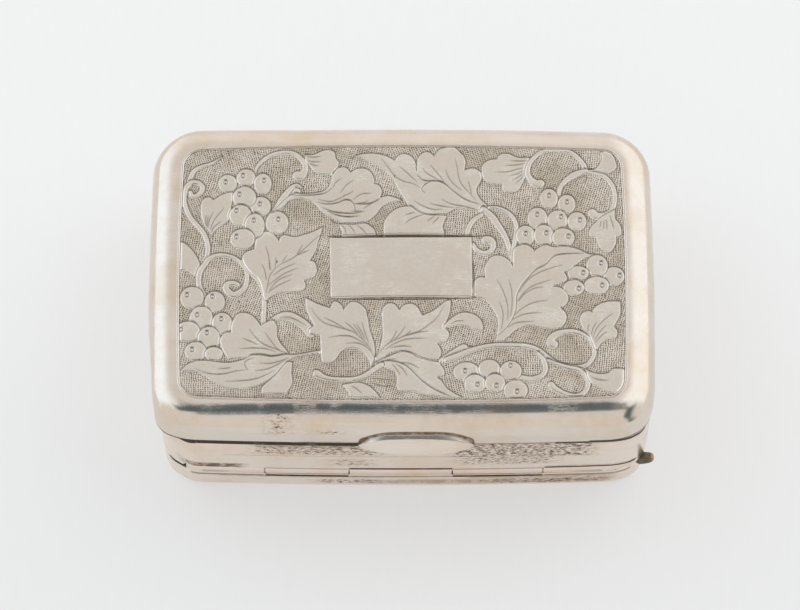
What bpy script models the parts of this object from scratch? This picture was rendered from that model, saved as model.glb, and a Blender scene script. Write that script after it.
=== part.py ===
"""A silver vinaigrette box with a hinged lid, a pierced gilt grille over a
sponge, and a second hinged lid that closes a compartment under the case.

The origin is the centre of the flat underside. X runs along the length,
-Y is the front with the thumbpiece, and Z is up. Lengths are in metres.
"""

import math

import bmesh
import bpy
from mathutils import Matrix, Vector

COLLECTION_NAME = "vinaigrette_box"
CUTTER_COLLECTION_NAME = "vinaigrette_box_cutters"

# Plan of the box round the rim of the lid
BOX_WIDTH = 0.0450
BOX_DEPTH = 0.0303
CORNER_RADIUS = 0.0042
INSIDE_CORNER_RADIUS = 0.0005
FRONT_BOW = 0.00045          # how far the front and the back swell out at the middle
END_BOW = 0.0003             # how far the two ends swell out

# The shells, from the underside up
BASE_HEIGHT = 0.0040
CASE_HEIGHT = 0.0070
LID_HEIGHT = 0.0036
CASE_INSET = 0.00025         # the case stands in a little from the lid
BASE_INSET = 0.00035         # and the lower lid a little more
WALL = 0.0006

# Fits
SEAM_GAP = 0.00012           # between the rims of two shells that close
SOLDER_GAP = 0.00004         # between two pieces that are soldered together
BEZEL_GAP = 0.00010          # round a bezel inside the walls
CUT_OVERRUN = 0.0010         # how far a cutter passes through what it cuts
WELD_DISTANCE = 0.000002     # points nearer than this become one

# Lower lid
BASE_FLOOR = 0.0005
BASE_EDGE_RADIUS = 0.0012

# Lid: a convex border round a flat plate
BORDER_WIDTH = 0.00270
BORDER_DROP = 0.0024
PLATE_THICKNESS = 0.0005
PLATE_GAP = 0.00003
PLATE_LEDGE_WIDTH = 0.0006
PLATE_LEDGE_THICKNESS = 0.0004

# Inner parts of the case
BEZEL_THICKNESS = 0.00045
BEZEL_STAND = 0.0008         # how far a bezel stands out of the case
DIVIDER_RISE = 0.0016        # from the lower seam to the divider's underside
DIVIDER_THICKNESS = 0.0004
LEDGE_DROP = 0.0011          # from the upper seam down to the ledge's top
LEDGE_THICKNESS = 0.0005
LEDGE_WIDTH = 0.0023
SPONGE_MARGIN = 0.0014       # round the sponge, inside the case walls
SPONGE_CLEARANCE = 0.00015   # under and over the sponge
SPONGE_EDGE_RADIUS = 0.0006

# Hinges of the two lids
BARREL_RADIUS = 0.00065
LID_BARREL_PROUD = 0.00038   # how far the rear barrel stands out of the case wall
BASE_BARREL_PROUD = 0.00025  # and the front barrel
BARREL_BORE = 0.00030
PIN_RADIUS = 0.00026
PIN_SHORTFALL = 0.0003       # the pin ends inside the last knuckles
KNUCKLE_GAP = 0.00010
RUNNING_GAP = 0.00012        # between a barrel and the rim that turns round it
LID_HINGE_END_SPACE = 0.0033    # from either end of the box to the rear barrel
BASE_HINGE_LEFT_SPACE = 0.0031  # from the left end of the box to the front barrel
BASE_HINGE_RIGHT_SPACE = 0.0019
KNUCKLE_SHARES = (0.0, 0.177, 0.366, 0.597, 0.80, 1.0)

# Grille and its hinge
GRILLE_THICKNESS = 0.0004
GRILLE_MARGIN = 0.00025      # between the grille's edge and the bezel
GRILLE_HINGE_SETBACK = 0.0023   # from the back of the lid rim to the grille's axis
GRILLE_HINGE_LENGTH = 0.0200
GRILLE_BARREL_RADIUS = 0.00042
GRILLE_BARREL_BORE = 0.00021
GRILLE_PIN_RADIUS = 0.00018
GRILLE_REAR_LAP = 0.00022    # how far the grille's rear edge stops before the axis
GRILLE_KNUCKLE_SHARES = (0.0, 0.3, 0.7, 1.0)
GRILLE_TAB_RADIUS = 0.0009
GRILLE_TAB_THICKNESS = 0.0004
GRILLE_TAB_EDGE = 0.0013     # from the grille's front edge to the tab's middle

# Piercing of the grille
ROSETTE_EYE_RADIUS = 0.00085
ROSETTE_PETAL_LENGTH = 0.00125
ROSETTE_PETAL_WIDTH = 0.00058
ROSETTE_RING_RADIUS = 0.0031
SIDE_ROSETTE_SHARE = 0.566   # of the way from the middle of the grille to its end
BEAD_RADIUS = 0.00045
BEAD_FAN_RADIUS = 0.0056     # from the middle to the beads behind and before the rosette
BEAD_FAN_DEGREES = (54, 90, 126)
BEAD_BORDER = 0.0017         # from the grille's edge to its border of round holes
BEAD_HINGE_SPACE = 0.0022    # no round holes nearer to the hinge than this

# Thumbpiece on the lid
THUMB_WIDTH = 0.0103
THUMB_SHIFT = 0.00125        # to the right of the middle, as on the box
THUMB_REACH = 0.0011
THUMB_RISE = 0.0021
THUMB_FACE_SHARES = ((0.10, 0.90), (0.22, 0.81), (0.38, 0.78), (0.56, 0.69), (0.76, 0.50),
                     (0.92, 0.26), (1.0, 0.08), (0.99, 0.0))
THUMB_ROOT_SHARES = (0.0, 0.30, 0.55, 0.78, 1.0)

# Lip at the back of the lower lid
LIP_WIDTH = 0.0080
LIP_REACH = 0.0007
LIP_RISE = 0.0007
LIP_DROP = 0.0009            # from the lower seam to the lip's underside
LIP_FACE_SHARES = ((0.55, 1.0), (0.9, 0.75), (1.0, 0.4), (0.85, 0.08), (0.6, 0.0))
LIP_ROOT_SHARES = (0.0, 1.0)
LIP_TIP_SHARE = 0.985        # the lip's sections stop just short of its sharp tips

# Lug on the right front corner of the lower lid
LUG_END_INSET = 0.0001       # from the right end of the box to the lug's tip
LUG_FRONT_INSET = 0.0016     # from the front of the box to the lug
LUG_LENGTH = 0.0034
LUG_WIDTH = 0.0008
LUG_DROP = 0.0010            # from the lower seam to the lug's underside
LUG_THICKNESS = 0.0009
LUG_CORNER_RADIUS = 0.0005

# Numbers of steps
CORNER_STEPS = 6
LONG_SIDE_STEPS = 8
SHORT_SIDE_STEPS = 4
BORDER_STEPS = 7
UNDERSIDE_STEPS = 4
TRAY_EDGE_STEPS = 4
SPONGE_EDGE_STEPS = 2
BARREL_SIDES = 20
GRILLE_BARREL_SIDES = 14
PIN_SIDES = 12
LIP_STATIONS = 14
HOLE_SIDES = 12
TAB_STEPS = 8
LUG_STEPS = 4
PETALS = 8
SIDE_PETALS = 6
FRONT_BEADS = 15
END_BEADS = 7

# Heights that follow from the shells
BASE_SEAM_Z = BASE_HEIGHT
LID_SEAM_Z = BASE_SEAM_Z + CASE_HEIGHT
TOP_Z = LID_SEAM_Z + LID_HEIGHT
RIM_TOP_Z = TOP_Z - BORDER_DROP
HALF_SEAM = SEAM_GAP / 2
DIVIDER_LOW_Z = BASE_SEAM_Z + DIVIDER_RISE
DIVIDER_HIGH_Z = DIVIDER_LOW_Z + DIVIDER_THICKNESS
LEDGE_HIGH_Z = LID_SEAM_Z - LEDGE_DROP
LEDGE_LOW_Z = LEDGE_HIGH_Z - LEDGE_THICKNESS
GRILLE_LOW_Z = LEDGE_HIGH_Z + SOLDER_GAP
GRILLE_HIGH_Z = GRILLE_LOW_Z + GRILLE_THICKNESS

# Insets of the inner pieces from the lid's outline
CASE_INNER_INSET = CASE_INSET + WALL
BASE_INNER_INSET = BASE_INSET + WALL
UPPER_BEZEL_INSET = max(CASE_INNER_INSET, WALL) + BEZEL_GAP
LOWER_BEZEL_INSET = max(CASE_INNER_INSET, BASE_INNER_INSET) + BEZEL_GAP
FITTED_INSET = CASE_INNER_INSET + SOLDER_GAP
GRILLE_INSET = UPPER_BEZEL_INSET + BEZEL_THICKNESS + GRILLE_MARGIN

# Axes of the three hinges, as (y, z)
CASE_WALL_Y = BOX_DEPTH / 2 - CASE_INSET
LID_AXIS = (CASE_WALL_Y + LID_BARREL_PROUD - BARREL_RADIUS, LID_SEAM_Z)
BASE_AXIS = (BARREL_RADIUS - BASE_BARREL_PROUD - CASE_WALL_Y, BASE_SEAM_Z)
GRILLE_AXIS = (BOX_DEPTH / 2 - GRILLE_HINGE_SETBACK, (GRILLE_LOW_Z + GRILLE_HIGH_Z) / 2)

# Where each hinge's barrel starts and ends along X
LID_HINGE_SPAN = (LID_HINGE_END_SPACE - BOX_WIDTH / 2, BOX_WIDTH / 2 - LID_HINGE_END_SPACE)
BASE_HINGE_SPAN = (BASE_HINGE_LEFT_SPACE - BOX_WIDTH / 2, BOX_WIDTH / 2 - BASE_HINGE_RIGHT_SPACE)
GRILLE_HINGE_SPAN = (-GRILLE_HINGE_LENGTH / 2, GRILLE_HINGE_LENGTH / 2)

SILVER = ((0.78, 0.75, 0.70, 1.0), 0.28, 1.0)
ENGRAVED_SILVER = ((0.66, 0.63, 0.57, 1.0), 0.36, 1.0)
DULL_SILVER = ((0.55, 0.51, 0.45, 1.0), 0.42, 1.0)
GILT = ((0.80, 0.58, 0.27, 1.0), 0.26, 1.0)
SPONGE = ((0.62, 0.44, 0.22, 1.0), 0.95, 0.0)


def clear_scene():
    """Remove every object that the scene holds."""
    for item in list(bpy.data.objects):
        bpy.data.objects.remove(item, do_unlink=True)


def new_collection(name):
    """Make a collection and link it to the scene."""
    collection = bpy.data.collections.new(name)
    bpy.context.scene.collection.children.link(collection)
    return collection


def finish(item, look):
    """Give an object its own material from a look of colour, roughness and metallic."""
    colour, roughness, metallic = look
    material = bpy.data.materials.new(item.name + "_finish")
    material.use_nodes = True
    shader = material.node_tree.nodes["Principled BSDF"]
    shader.inputs["Base Color"].default_value = colour
    shader.inputs["Roughness"].default_value = roughness
    shader.inputs["Metallic"].default_value = metallic
    material.diffuse_color = colour
    item.data.materials.clear()
    item.data.materials.append(material)


def place(item, body, look):
    """Finish a piece and hang it on the empty of its body, where it already lies."""
    finish(item, look)
    item.parent = body
    item.matrix_parent_inverse = Matrix.Translation(-body.location)
    return item


def new_body(name, location, collection, parent=None):
    """Make the empty that a body's pieces hang on, on the axis that the body turns about."""
    empty = bpy.data.objects.new(name, None)
    empty.empty_display_size = BASE_HEIGHT
    empty.location = location
    collection.objects.link(empty)
    if parent is not None:
        empty.parent = parent
        empty.matrix_parent_inverse = Matrix.Translation(-parent.location)
    return empty


def poly_curve(name, loops, height=0.0):
    """Make a flat curve of closed straight-sided loops at one height."""
    curve = bpy.data.curves.new(name, "CURVE")
    curve.dimensions = "2D"
    for loop in loops:
        spline = curve.splines.new("POLY")
        spline.points.add(len(loop) - 1)
        for point, (x, y) in zip(spline.points, loop):
            point.co = (x, y, 0.0, 1.0)
        spline.use_cyclic_u = True
    item = bpy.data.objects.new(name, curve)
    item.location = (0.0, 0.0, height)
    return item


def mesh_from_curve(item, collection):
    """Turn a curve object into a welded mesh object that faces outwards."""
    bpy.context.scene.collection.objects.link(item)
    bpy.context.view_layer.update()
    evaluated = item.evaluated_get(bpy.context.evaluated_depsgraph_get())
    mesh = bpy.data.meshes.new_from_object(evaluated)
    mesh.transform(item.matrix_world)
    name = item.name
    bpy.data.objects.remove(item, do_unlink=True)
    model = bmesh.new()
    model.from_mesh(mesh)
    bmesh.ops.remove_doubles(model, verts=model.verts, dist=WELD_DISTANCE)
    bmesh.ops.recalc_face_normals(model, faces=model.faces)
    model.to_mesh(mesh)
    model.free()
    mesh.name = name
    result = bpy.data.objects.new(name, mesh)
    collection.objects.link(result)
    return result


def shade_round(item):
    """Shade a piece smooth and keep its edges of more than thirty degrees sharp."""
    item.data.shade_smooth()
    item.data.set_sharp_from_angle(angle=math.radians(30))


def outline(inset):
    """Points round the plan: a rounded rectangle with bowed sides, moved in by inset."""
    half_x = BOX_WIDTH / 2 - END_BOW - inset
    half_y = BOX_DEPTH / 2 - FRONT_BOW - inset
    radius = max(CORNER_RADIUS - inset, INSIDE_CORNER_RADIUS)
    centre_x = half_x - radius
    centre_y = half_y - radius
    corners = ((1, 1, 0), (-1, 1, 1), (-1, -1, 2), (1, -1, 3))
    points = []
    for sign_x, sign_y, quarter in corners:
        for step in range(CORNER_STEPS + 1):
            angle = (quarter + step / CORNER_STEPS) * math.pi / 2
            points.append((sign_x * centre_x + radius * math.cos(angle),
                           sign_y * centre_y + radius * math.sin(angle)))
        along_x = quarter % 2 == 0
        steps = LONG_SIDE_STEPS if along_x else SHORT_SIDE_STEPS
        x, y = points[-1]
        for step in range(1, steps):
            back = 1 - 2 * step / steps
            points.append((x * back, y) if along_x else (x, y * back))
    bowed = []
    for x, y in points:
        bowed.append((x + END_BOW * (x / half_x) * (1 - (y / half_y) ** 2),
                      y + FRONT_BOW * (y / half_y) * (1 - (x / half_x) ** 2)))
    return bowed


def side_y(x, inset):
    """Distance from the middle plane to the front or back face at one x."""
    half_x = BOX_WIDTH / 2 - END_BOW - inset
    return BOX_DEPTH / 2 - FRONT_BOW - inset + FRONT_BOW * (1 - (x / half_x) ** 2)


def end_x(y, inset):
    """Distance from the middle plane to the left or right end at one y."""
    half_y = BOX_DEPTH / 2 - FRONT_BOW - inset
    return BOX_WIDTH / 2 - END_BOW - inset + END_BOW * (1 - (y / half_y) ** 2)


def slab(name, loops, low, high, collection):
    """Fill flat outlines, holes included, and give them a thickness."""
    item = poly_curve(name, loops, (low + high) / 2)
    item.data.fill_mode = "BOTH"
    item.data.extrude = (high - low) / 2
    return mesh_from_curve(item, collection)


def moulding(name, profile, collection):
    """Carry a closed profile of (inset, height) points round the plan."""
    section = poly_curve(name + "_section", [profile])
    bpy.context.scene.collection.objects.link(section)
    path = poly_curve(name, [outline(0.0)])
    path.data.bevel_mode = "OBJECT"
    path.data.bevel_object = section
    result = mesh_from_curve(path, collection)
    bpy.data.objects.remove(section, do_unlink=True)
    return result


def band(name, outer_inset, inner_inset, low, high, collection):
    """A plain upright band between two insets."""
    profile = [(outer_inset, low), (outer_inset, high), (inner_inset, high), (inner_inset, low)]
    return moulding(name, profile, collection)


def turned(name, profile, closed, sides, y, z, collection):
    """Turn a profile of (radius, x) points, from +X to -X, round an axis along X."""
    mesh = bpy.data.meshes.new(name)
    verts = [(radius, 0.0, x) for radius, x in profile]
    edges = [(index, index + 1) for index in range(len(verts) - 1)]
    if closed:
        edges.append((len(verts) - 1, 0))
    mesh.from_pydata(verts, edges, [])
    item = bpy.data.objects.new(name, mesh)
    item.location = (0.0, y, z)
    item.rotation_euler = (0.0, math.pi / 2, 0.0)
    screw = item.modifiers.new("turn", "SCREW")
    screw.axis = "Z"
    screw.angle = 2 * math.pi
    screw.steps = sides
    screw.render_steps = sides
    screw.use_merge_vertices = True
    screw.merge_threshold = WELD_DISTANCE
    screw.use_smooth_shade = True
    collection.objects.link(item)
    return item


def tube(name, outer, inner, start, end, sides, axis, collection):
    """A tube along X with square ends."""
    profile = [(outer, end), (outer, start), (inner, start), (inner, end)]
    return turned(name, profile, True, sides, axis[0], axis[1], collection)


def round_pin(name, radius, start, end, axis, collection):
    """A plain round pin along X."""
    model = bmesh.new()
    bmesh.ops.create_cone(model, cap_ends=True, segments=PIN_SIDES, radius1=radius, radius2=radius,
                          depth=end - start, matrix=Matrix.Rotation(math.pi / 2, 4, "Y"))
    mesh = bpy.data.meshes.new(name)
    model.to_mesh(mesh)
    model.free()
    item = bpy.data.objects.new(name, mesh)
    item.location = ((start + end) / 2, axis[0], axis[1])
    shade_round(item)
    collection.objects.link(item)
    return item


def box_cutter(name, low, high, collection):
    """A box between two corners, used to cut."""
    model = bmesh.new()
    bmesh.ops.create_cube(model, size=1.0)
    size = Vector(high) - Vector(low)
    bmesh.ops.scale(model, vec=size, verts=model.verts)
    bmesh.ops.translate(model, vec=(Vector(high) + Vector(low)) / 2, verts=model.verts)
    mesh = bpy.data.meshes.new(name)
    model.to_mesh(mesh)
    model.free()
    item = bpy.data.objects.new(name, mesh)
    collection.objects.link(item)
    return item


def cut(item, cutter):
    """Take a cutter's shape out of a piece."""
    cutter.hide_render = True
    cutter.display_type = "WIRE"
    modifier = item.modifiers.new(cutter.name, "BOOLEAN")
    modifier.operation = "DIFFERENCE"
    modifier.solver = "EXACT"
    modifier.object = cutter


def joint_spans(span, shares):
    """Pairs of x between which each knuckle of a barrel lies, joint gaps included."""
    start, end = span
    joints = [start + share * (end - start) for share in shares]
    return list(zip(joints[:-1], joints[1:]))


def rebate(name, span, shares, radius, own_first, sides, axis, collection):
    """A stepped round cutter: snug round a wall's own knuckles, wider round its neighbour's."""
    spans = joint_spans(span, shares)
    profile = []
    for index in reversed(range(len(spans))):
        own = (index % 2 == 0) == own_first
        reach = radius + (SOLDER_GAP if own else RUNNING_GAP)
        low, high = spans[index]
        if index == len(spans) - 1:
            high += KNUCKLE_GAP
            profile.append((0.0, high))
        if index == 0:
            low -= KNUCKLE_GAP
        profile.append((reach, high))
        profile.append((reach, low))
        if index == 0:
            profile.append((0.0, low))
    return turned(name, profile, False, sides, axis[0], axis[1], collection)


def border_inset(z):
    """How far the lid's convex border lies in from its rim at one height."""
    rise = max(0.0, z - RIM_TOP_Z) / BORDER_DROP
    return BORDER_WIDTH * (1 - math.sqrt(max(0.0, 1 - rise ** 2)))


def loft(name, sections, collection):
    """Skin a row of closed sections that have the same number of points."""
    model = bmesh.new()
    rings = [[model.verts.new(point) for point in section] for section in sections]
    for ring, following in zip(rings[:-1], rings[1:]):
        count = len(ring)
        for index in range(count):
            after = (index + 1) % count
            model.faces.new((ring[index], ring[after], following[after], following[index]))
    model.faces.new(rings[0])
    model.faces.new(rings[-1])
    bmesh.ops.recalc_face_normals(model, faces=model.faces)
    mesh = bpy.data.meshes.new(name)
    model.to_mesh(mesh)
    model.free()
    item = bpy.data.objects.new(name, mesh)
    collection.objects.link(item)
    shade_round(item)
    return item


def lip_sections(middle, width, reach, rise, low, face_shares, root_shares, root_y, facing):
    """Sections of a crescent lip whose reach and rise fall off towards its two tips."""
    sections = []
    for station in range(1, LIP_STATIONS):
        along = -math.cos(math.pi * station / LIP_STATIONS) * LIP_TIP_SHARE
        x = middle + along * width / 2
        out = reach * math.sqrt(1 - along ** 2)
        up = rise * math.sqrt(1 - along ** 4)
        section = [(x, facing * (root_y(x, low + share * up) + SOLDER_GAP), low + share * up)
                   for share in root_shares]
        for out_share, up_share in face_shares:
            z = low + up_share * up
            wall = root_y(x, low + up) + SOLDER_GAP
            foot = root_y(x, low) + SOLDER_GAP + out
            section.append((x, facing * (wall + out_share * (foot - wall)), z))
        sections.append(section)
    return sections


def rosette_holes(x, y, petals):
    """A round eye with a ring of petals, each hole as (x, y, half length, half width, turn)."""
    holes = [(x, y, ROSETTE_EYE_RADIUS, ROSETTE_EYE_RADIUS, 0.0)]
    for petal in range(petals):
        angle = 2 * math.pi * petal / petals
        holes.append((x + ROSETTE_RING_RADIUS * math.cos(angle), y + ROSETTE_RING_RADIUS * math.sin(angle),
                      ROSETTE_PETAL_LENGTH, ROSETTE_PETAL_WIDTH, angle))
    return holes


def border_places():
    """Where the beads of the grille's border sit: along its front and up its two ends."""
    inset = GRILLE_INSET + BEAD_BORDER
    corner_y = -side_y(end_x(0.0, inset), inset)
    corner_x = end_x(corner_y, inset)
    last_y = GRILLE_AXIS[0] - BEAD_HINGE_SPACE
    places = []
    for bead in range(FRONT_BEADS):
        x = corner_x * (2 * bead / (FRONT_BEADS - 1) - 1)
        places.append((x, -side_y(x, inset)))
    for bead in range(1, END_BEADS + 1):
        y = corner_y + (last_y - corner_y) * bead / END_BEADS
        places += [(-end_x(y, inset), y), (end_x(y, inset), y)]
    return places


def grille_holes():
    """The piercing: three rosettes, fans of beads beside the middle one, and a beaded border."""
    holes = rosette_holes(0.0, 0.0, PETALS)
    for side in (-1, 1):
        holes += rosette_holes(side * SIDE_ROSETTE_SHARE * end_x(0.0, GRILLE_INSET), 0.0, SIDE_PETALS)
        for degrees in BEAD_FAN_DEGREES:
            angle = side * math.radians(degrees)
            holes.append((BEAD_FAN_RADIUS * math.cos(angle), BEAD_FAN_RADIUS * math.sin(angle),
                          BEAD_RADIUS, BEAD_RADIUS, angle))
    holes += [(x, y, BEAD_RADIUS, BEAD_RADIUS, 0.0) for x, y in border_places()]
    return holes


def piercing_cutter(name, holes, low, high, collection):
    """Upright oval punches, one for each hole."""
    model = bmesh.new()
    for x, y, half_long, half_wide, turn in holes:
        matrix = (Matrix.Translation((x, y, (low + high) / 2)) @ Matrix.Rotation(turn, 4, "Z")
                  @ Matrix.Diagonal((half_long, half_wide, high - low, 1.0)))
        bmesh.ops.create_cone(model, cap_ends=True, segments=HOLE_SIDES, radius1=1.0, radius2=1.0,
                              depth=1.0, matrix=matrix)
    mesh = bpy.data.meshes.new(name)
    model.to_mesh(mesh)
    model.free()
    item = bpy.data.objects.new(name, mesh)
    collection.objects.link(item)
    return item


def rounded_tray(name, inset, low, high, edge_radius, collection):
    """A solid block on the plan with its lower edge rounded."""
    item = slab(name, [outline(inset)], low, high, collection)
    model = bmesh.new()
    model.from_mesh(item.data)
    middle = (low + high) / 2
    edges = [edge for edge in model.edges
             if len(edge.link_faces) == 2 and all(vert.co.z < middle for vert in edge.verts)
             and abs(edge.link_faces[0].normal.z - edge.link_faces[1].normal.z) > math.sin(math.pi / 4)]
    bmesh.ops.bevel(model, geom=edges, offset=edge_radius, offset_type="OFFSET", profile=0.5,
                    segments=TRAY_EDGE_STEPS, affect="EDGES", clamp_overlap=False)
    model.to_mesh(item.data)
    model.free()
    return item


def make_case(parts, cutters, body):
    """The case: its wall, divider, bezels, ledge and sponge."""
    wall = band("case_wall", CASE_INSET, CASE_INNER_INSET,
                BASE_SEAM_Z + HALF_SEAM, LID_SEAM_Z - HALF_SEAM, parts)
    shade_round(wall)
    place(wall, body, SILVER)

    divider = slab("divider_floor", [outline(FITTED_INSET)], DIVIDER_LOW_Z, DIVIDER_HIGH_Z, parts)
    place(divider, body, GILT)

    lower_bezel = band("lower_bezel", LOWER_BEZEL_INSET, LOWER_BEZEL_INSET + BEZEL_THICKNESS,
                       BASE_SEAM_Z - BEZEL_STAND, DIVIDER_LOW_Z - SOLDER_GAP, parts)
    upper_bezel = band("upper_bezel", UPPER_BEZEL_INSET, UPPER_BEZEL_INSET + BEZEL_THICKNESS,
                       LEDGE_HIGH_Z + SOLDER_GAP, LID_SEAM_Z + BEZEL_STAND, parts)
    for bezel in (lower_bezel, upper_bezel):
        shade_round(bezel)
        place(bezel, body, GILT)

    ledge = band("grille_ledge", FITTED_INSET, FITTED_INSET + LEDGE_WIDTH,
                 LEDGE_LOW_Z, LEDGE_HIGH_Z, parts)
    shade_round(ledge)
    place(ledge, body, GILT)

    sponge = slab("sponge", [outline(CASE_INNER_INSET + SPONGE_MARGIN)],
                  DIVIDER_HIGH_Z + SPONGE_CLEARANCE, LEDGE_LOW_Z - SPONGE_CLEARANCE, parts)
    soften = sponge.modifiers.new("soften", "BEVEL")
    soften.width = SPONGE_EDGE_RADIUS
    soften.segments = SPONGE_EDGE_STEPS
    soften.limit_method = "ANGLE"
    soften.angle_limit = math.radians(60)
    shade_round(sponge)
    place(sponge, body, SPONGE)

    # The upper bezel stops where the rear corners of the grille swing up past it
    rear_y = GRILLE_AXIS[0] - (LID_SEAM_Z + BEZEL_STAND - GRILLE_AXIS[1])
    cut(upper_bezel, box_cutter("upper_bezel_opening", (-BOX_WIDTH, rear_y, LEDGE_LOW_Z),
                                (BOX_WIDTH, BOX_DEPTH, TOP_Z), cutters))
    reach = BARREL_RADIUS + RUNNING_GAP
    cut(lower_bezel, box_cutter("lower_bezel_opening", (BASE_HINGE_SPAN[0] - reach, -BOX_DEPTH, 0.0),
                                (BASE_HINGE_SPAN[1] + reach, BASE_AXIS[0] + reach + BEZEL_THICKNESS,
                                 LID_SEAM_Z), cutters))
    return wall, ledge


def make_base_lid(parts, cutters, body):
    """The lower lid: its tray, the lip behind and the lug on the corner."""
    tray = rounded_tray("base_tray", BASE_INSET, 0.0, BASE_SEAM_Z - HALF_SEAM, BASE_EDGE_RADIUS, parts)
    hollow = rounded_tray("base_tray_hollow", BASE_INNER_INSET, BASE_FLOOR, BASE_SEAM_Z + CUT_OVERRUN,
                          BASE_EDGE_RADIUS - WALL, cutters)
    cut(tray, hollow)
    shade_round(tray)
    place(tray, body, SILVER)

    def back_wall(x, z):
        return side_y(x, BASE_INSET)

    low = BASE_SEAM_Z - LIP_DROP
    sections = lip_sections(0.0, LIP_WIDTH, LIP_REACH, LIP_RISE, low,
                            LIP_FACE_SHARES, LIP_ROOT_SHARES, back_wall, 1)
    place(loft("base_lip", sections, parts), body, SILVER)

    tip_x = BOX_WIDTH / 2 - LUG_END_INSET
    front_y = LUG_FRONT_INSET - BOX_DEPTH / 2
    back_y = front_y + LUG_WIDTH
    lug_points = [(tip_x - LUG_LENGTH, back_y), (tip_x - LUG_LENGTH, front_y)]
    for step in range(LUG_STEPS + 1):
        angle = math.pi / 2 * (step / LUG_STEPS - 1)
        lug_points.append((tip_x - LUG_CORNER_RADIUS * (1 - math.cos(angle)),
                           front_y + LUG_CORNER_RADIUS * (1 + math.sin(angle))))
    lug_points.append((tip_x, back_y))
    lug_low = BASE_SEAM_Z - LUG_DROP
    lug = slab("corner_lug", [lug_points], lug_low, lug_low + LUG_THICKNESS, parts)
    corner = slab("corner_lug_seat", [outline(BASE_INSET - SOLDER_GAP)],
                  lug_low - CUT_OVERRUN, BASE_SEAM_Z + CUT_OVERRUN, cutters)
    cut(lug, corner)
    place(lug, body, GILT)
    return tray


def make_lid(parts, body):
    """The lid: its convex frame, the plate let into it and the thumbpiece."""
    profile = [(0.0, LID_SEAM_Z + HALF_SEAM)]
    for step in range(BORDER_STEPS + 1):
        angle = math.pi / 2 * step / BORDER_STEPS
        profile.append((BORDER_WIDTH * (1 - math.cos(angle)), RIM_TOP_Z + BORDER_DROP * math.sin(angle)))
    pocket_z = TOP_Z - PLATE_THICKNESS - SOLDER_GAP
    ledge_z = pocket_z - PLATE_LEDGE_THICKNESS
    inner = BORDER_WIDTH + PLATE_LEDGE_WIDTH
    profile += [(BORDER_WIDTH, pocket_z), (inner, pocket_z), (inner, ledge_z)]
    under_width = BORDER_WIDTH - WALL
    under_drop = BORDER_DROP - WALL
    last = math.asin(min(1.0, (ledge_z - RIM_TOP_Z) / under_drop))
    for step in reversed(range(UNDERSIDE_STEPS + 1)):
        angle = last * step / UNDERSIDE_STEPS
        profile.append((BORDER_WIDTH - under_width * math.cos(angle),
                        RIM_TOP_Z + under_drop * math.sin(angle)))
    profile.append((WALL, LID_SEAM_Z + HALF_SEAM))
    frame = moulding("lid_frame", profile, parts)
    shade_round(frame)
    place(frame, body, SILVER)

    plate = slab("lid_plate", [outline(BORDER_WIDTH + PLATE_GAP)], TOP_Z - PLATE_THICKNESS, TOP_Z, parts)
    place(plate, body, ENGRAVED_SILVER)

    def front_wall(x, z):
        return side_y(x, border_inset(z))

    sections = lip_sections(THUMB_SHIFT, THUMB_WIDTH, THUMB_REACH, THUMB_RISE, LID_SEAM_Z + HALF_SEAM,
                            THUMB_FACE_SHARES, THUMB_ROOT_SHARES, front_wall, -1)
    place(loft("thumbpiece", sections, parts), body, SILVER)
    return frame


def make_grille(parts, cutters, body):
    """The pierced grille, its rear edge cut straight for the hinge, and its lifting tab."""
    plate = slab("grille_plate", [outline(GRILLE_INSET)], GRILLE_LOW_Z, GRILLE_HIGH_Z, parts)
    piercing = piercing_cutter("grille_piercing", grille_holes(), GRILLE_LOW_Z - CUT_OVERRUN,
                               GRILLE_HIGH_Z + CUT_OVERRUN, cutters)
    cut(plate, piercing)
    rear = box_cutter("grille_rear_edge",
                      (-BOX_WIDTH, GRILLE_AXIS[0] - GRILLE_REAR_LAP, GRILLE_LOW_Z - CUT_OVERRUN),
                      (BOX_WIDTH, BOX_DEPTH, GRILLE_HIGH_Z + CUT_OVERRUN), cutters)
    cut(plate, rear)
    place(plate, body, GILT)

    tab_points = []
    for step in range(TAB_STEPS + 1):
        angle = math.pi * step / TAB_STEPS
        tab_points.append((GRILLE_TAB_RADIUS * math.cos(angle), GRILLE_TAB_RADIUS * math.sin(angle)))
    tab = slab("grille_tab", [tab_points], -GRILLE_TAB_THICKNESS / 2, GRILLE_TAB_THICKNESS / 2, parts)
    tab.rotation_euler = (math.pi / 2, 0.0, 0.0)
    tab.location = (0.0, -side_y(0.0, GRILLE_INSET) + GRILLE_TAB_EDGE, GRILLE_HIGH_Z + SOLDER_GAP)
    place(tab, body, GILT)
    return plate


def make_barrel(owners, shares, span, radius, bore, sides, axis, look, parts):
    """A row of knuckles along one axis, each as (name, body)."""
    half_gap = KNUCKLE_GAP / 2
    for (name, body), (low, high) in zip(owners, joint_spans(span, shares)):
        knuckle = tube(name, radius, bore, low + half_gap, high - half_gap, sides, axis, parts)
        place(knuckle, body, look)


def make_pin(name, radius, span, axis, body, parts):
    """A pin that ends inside the outermost knuckles."""
    pin = round_pin(name, radius, span[0] + PIN_SHORTFALL, span[1] - PIN_SHORTFALL, axis, parts)
    place(pin, body, DULL_SILVER)


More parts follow.
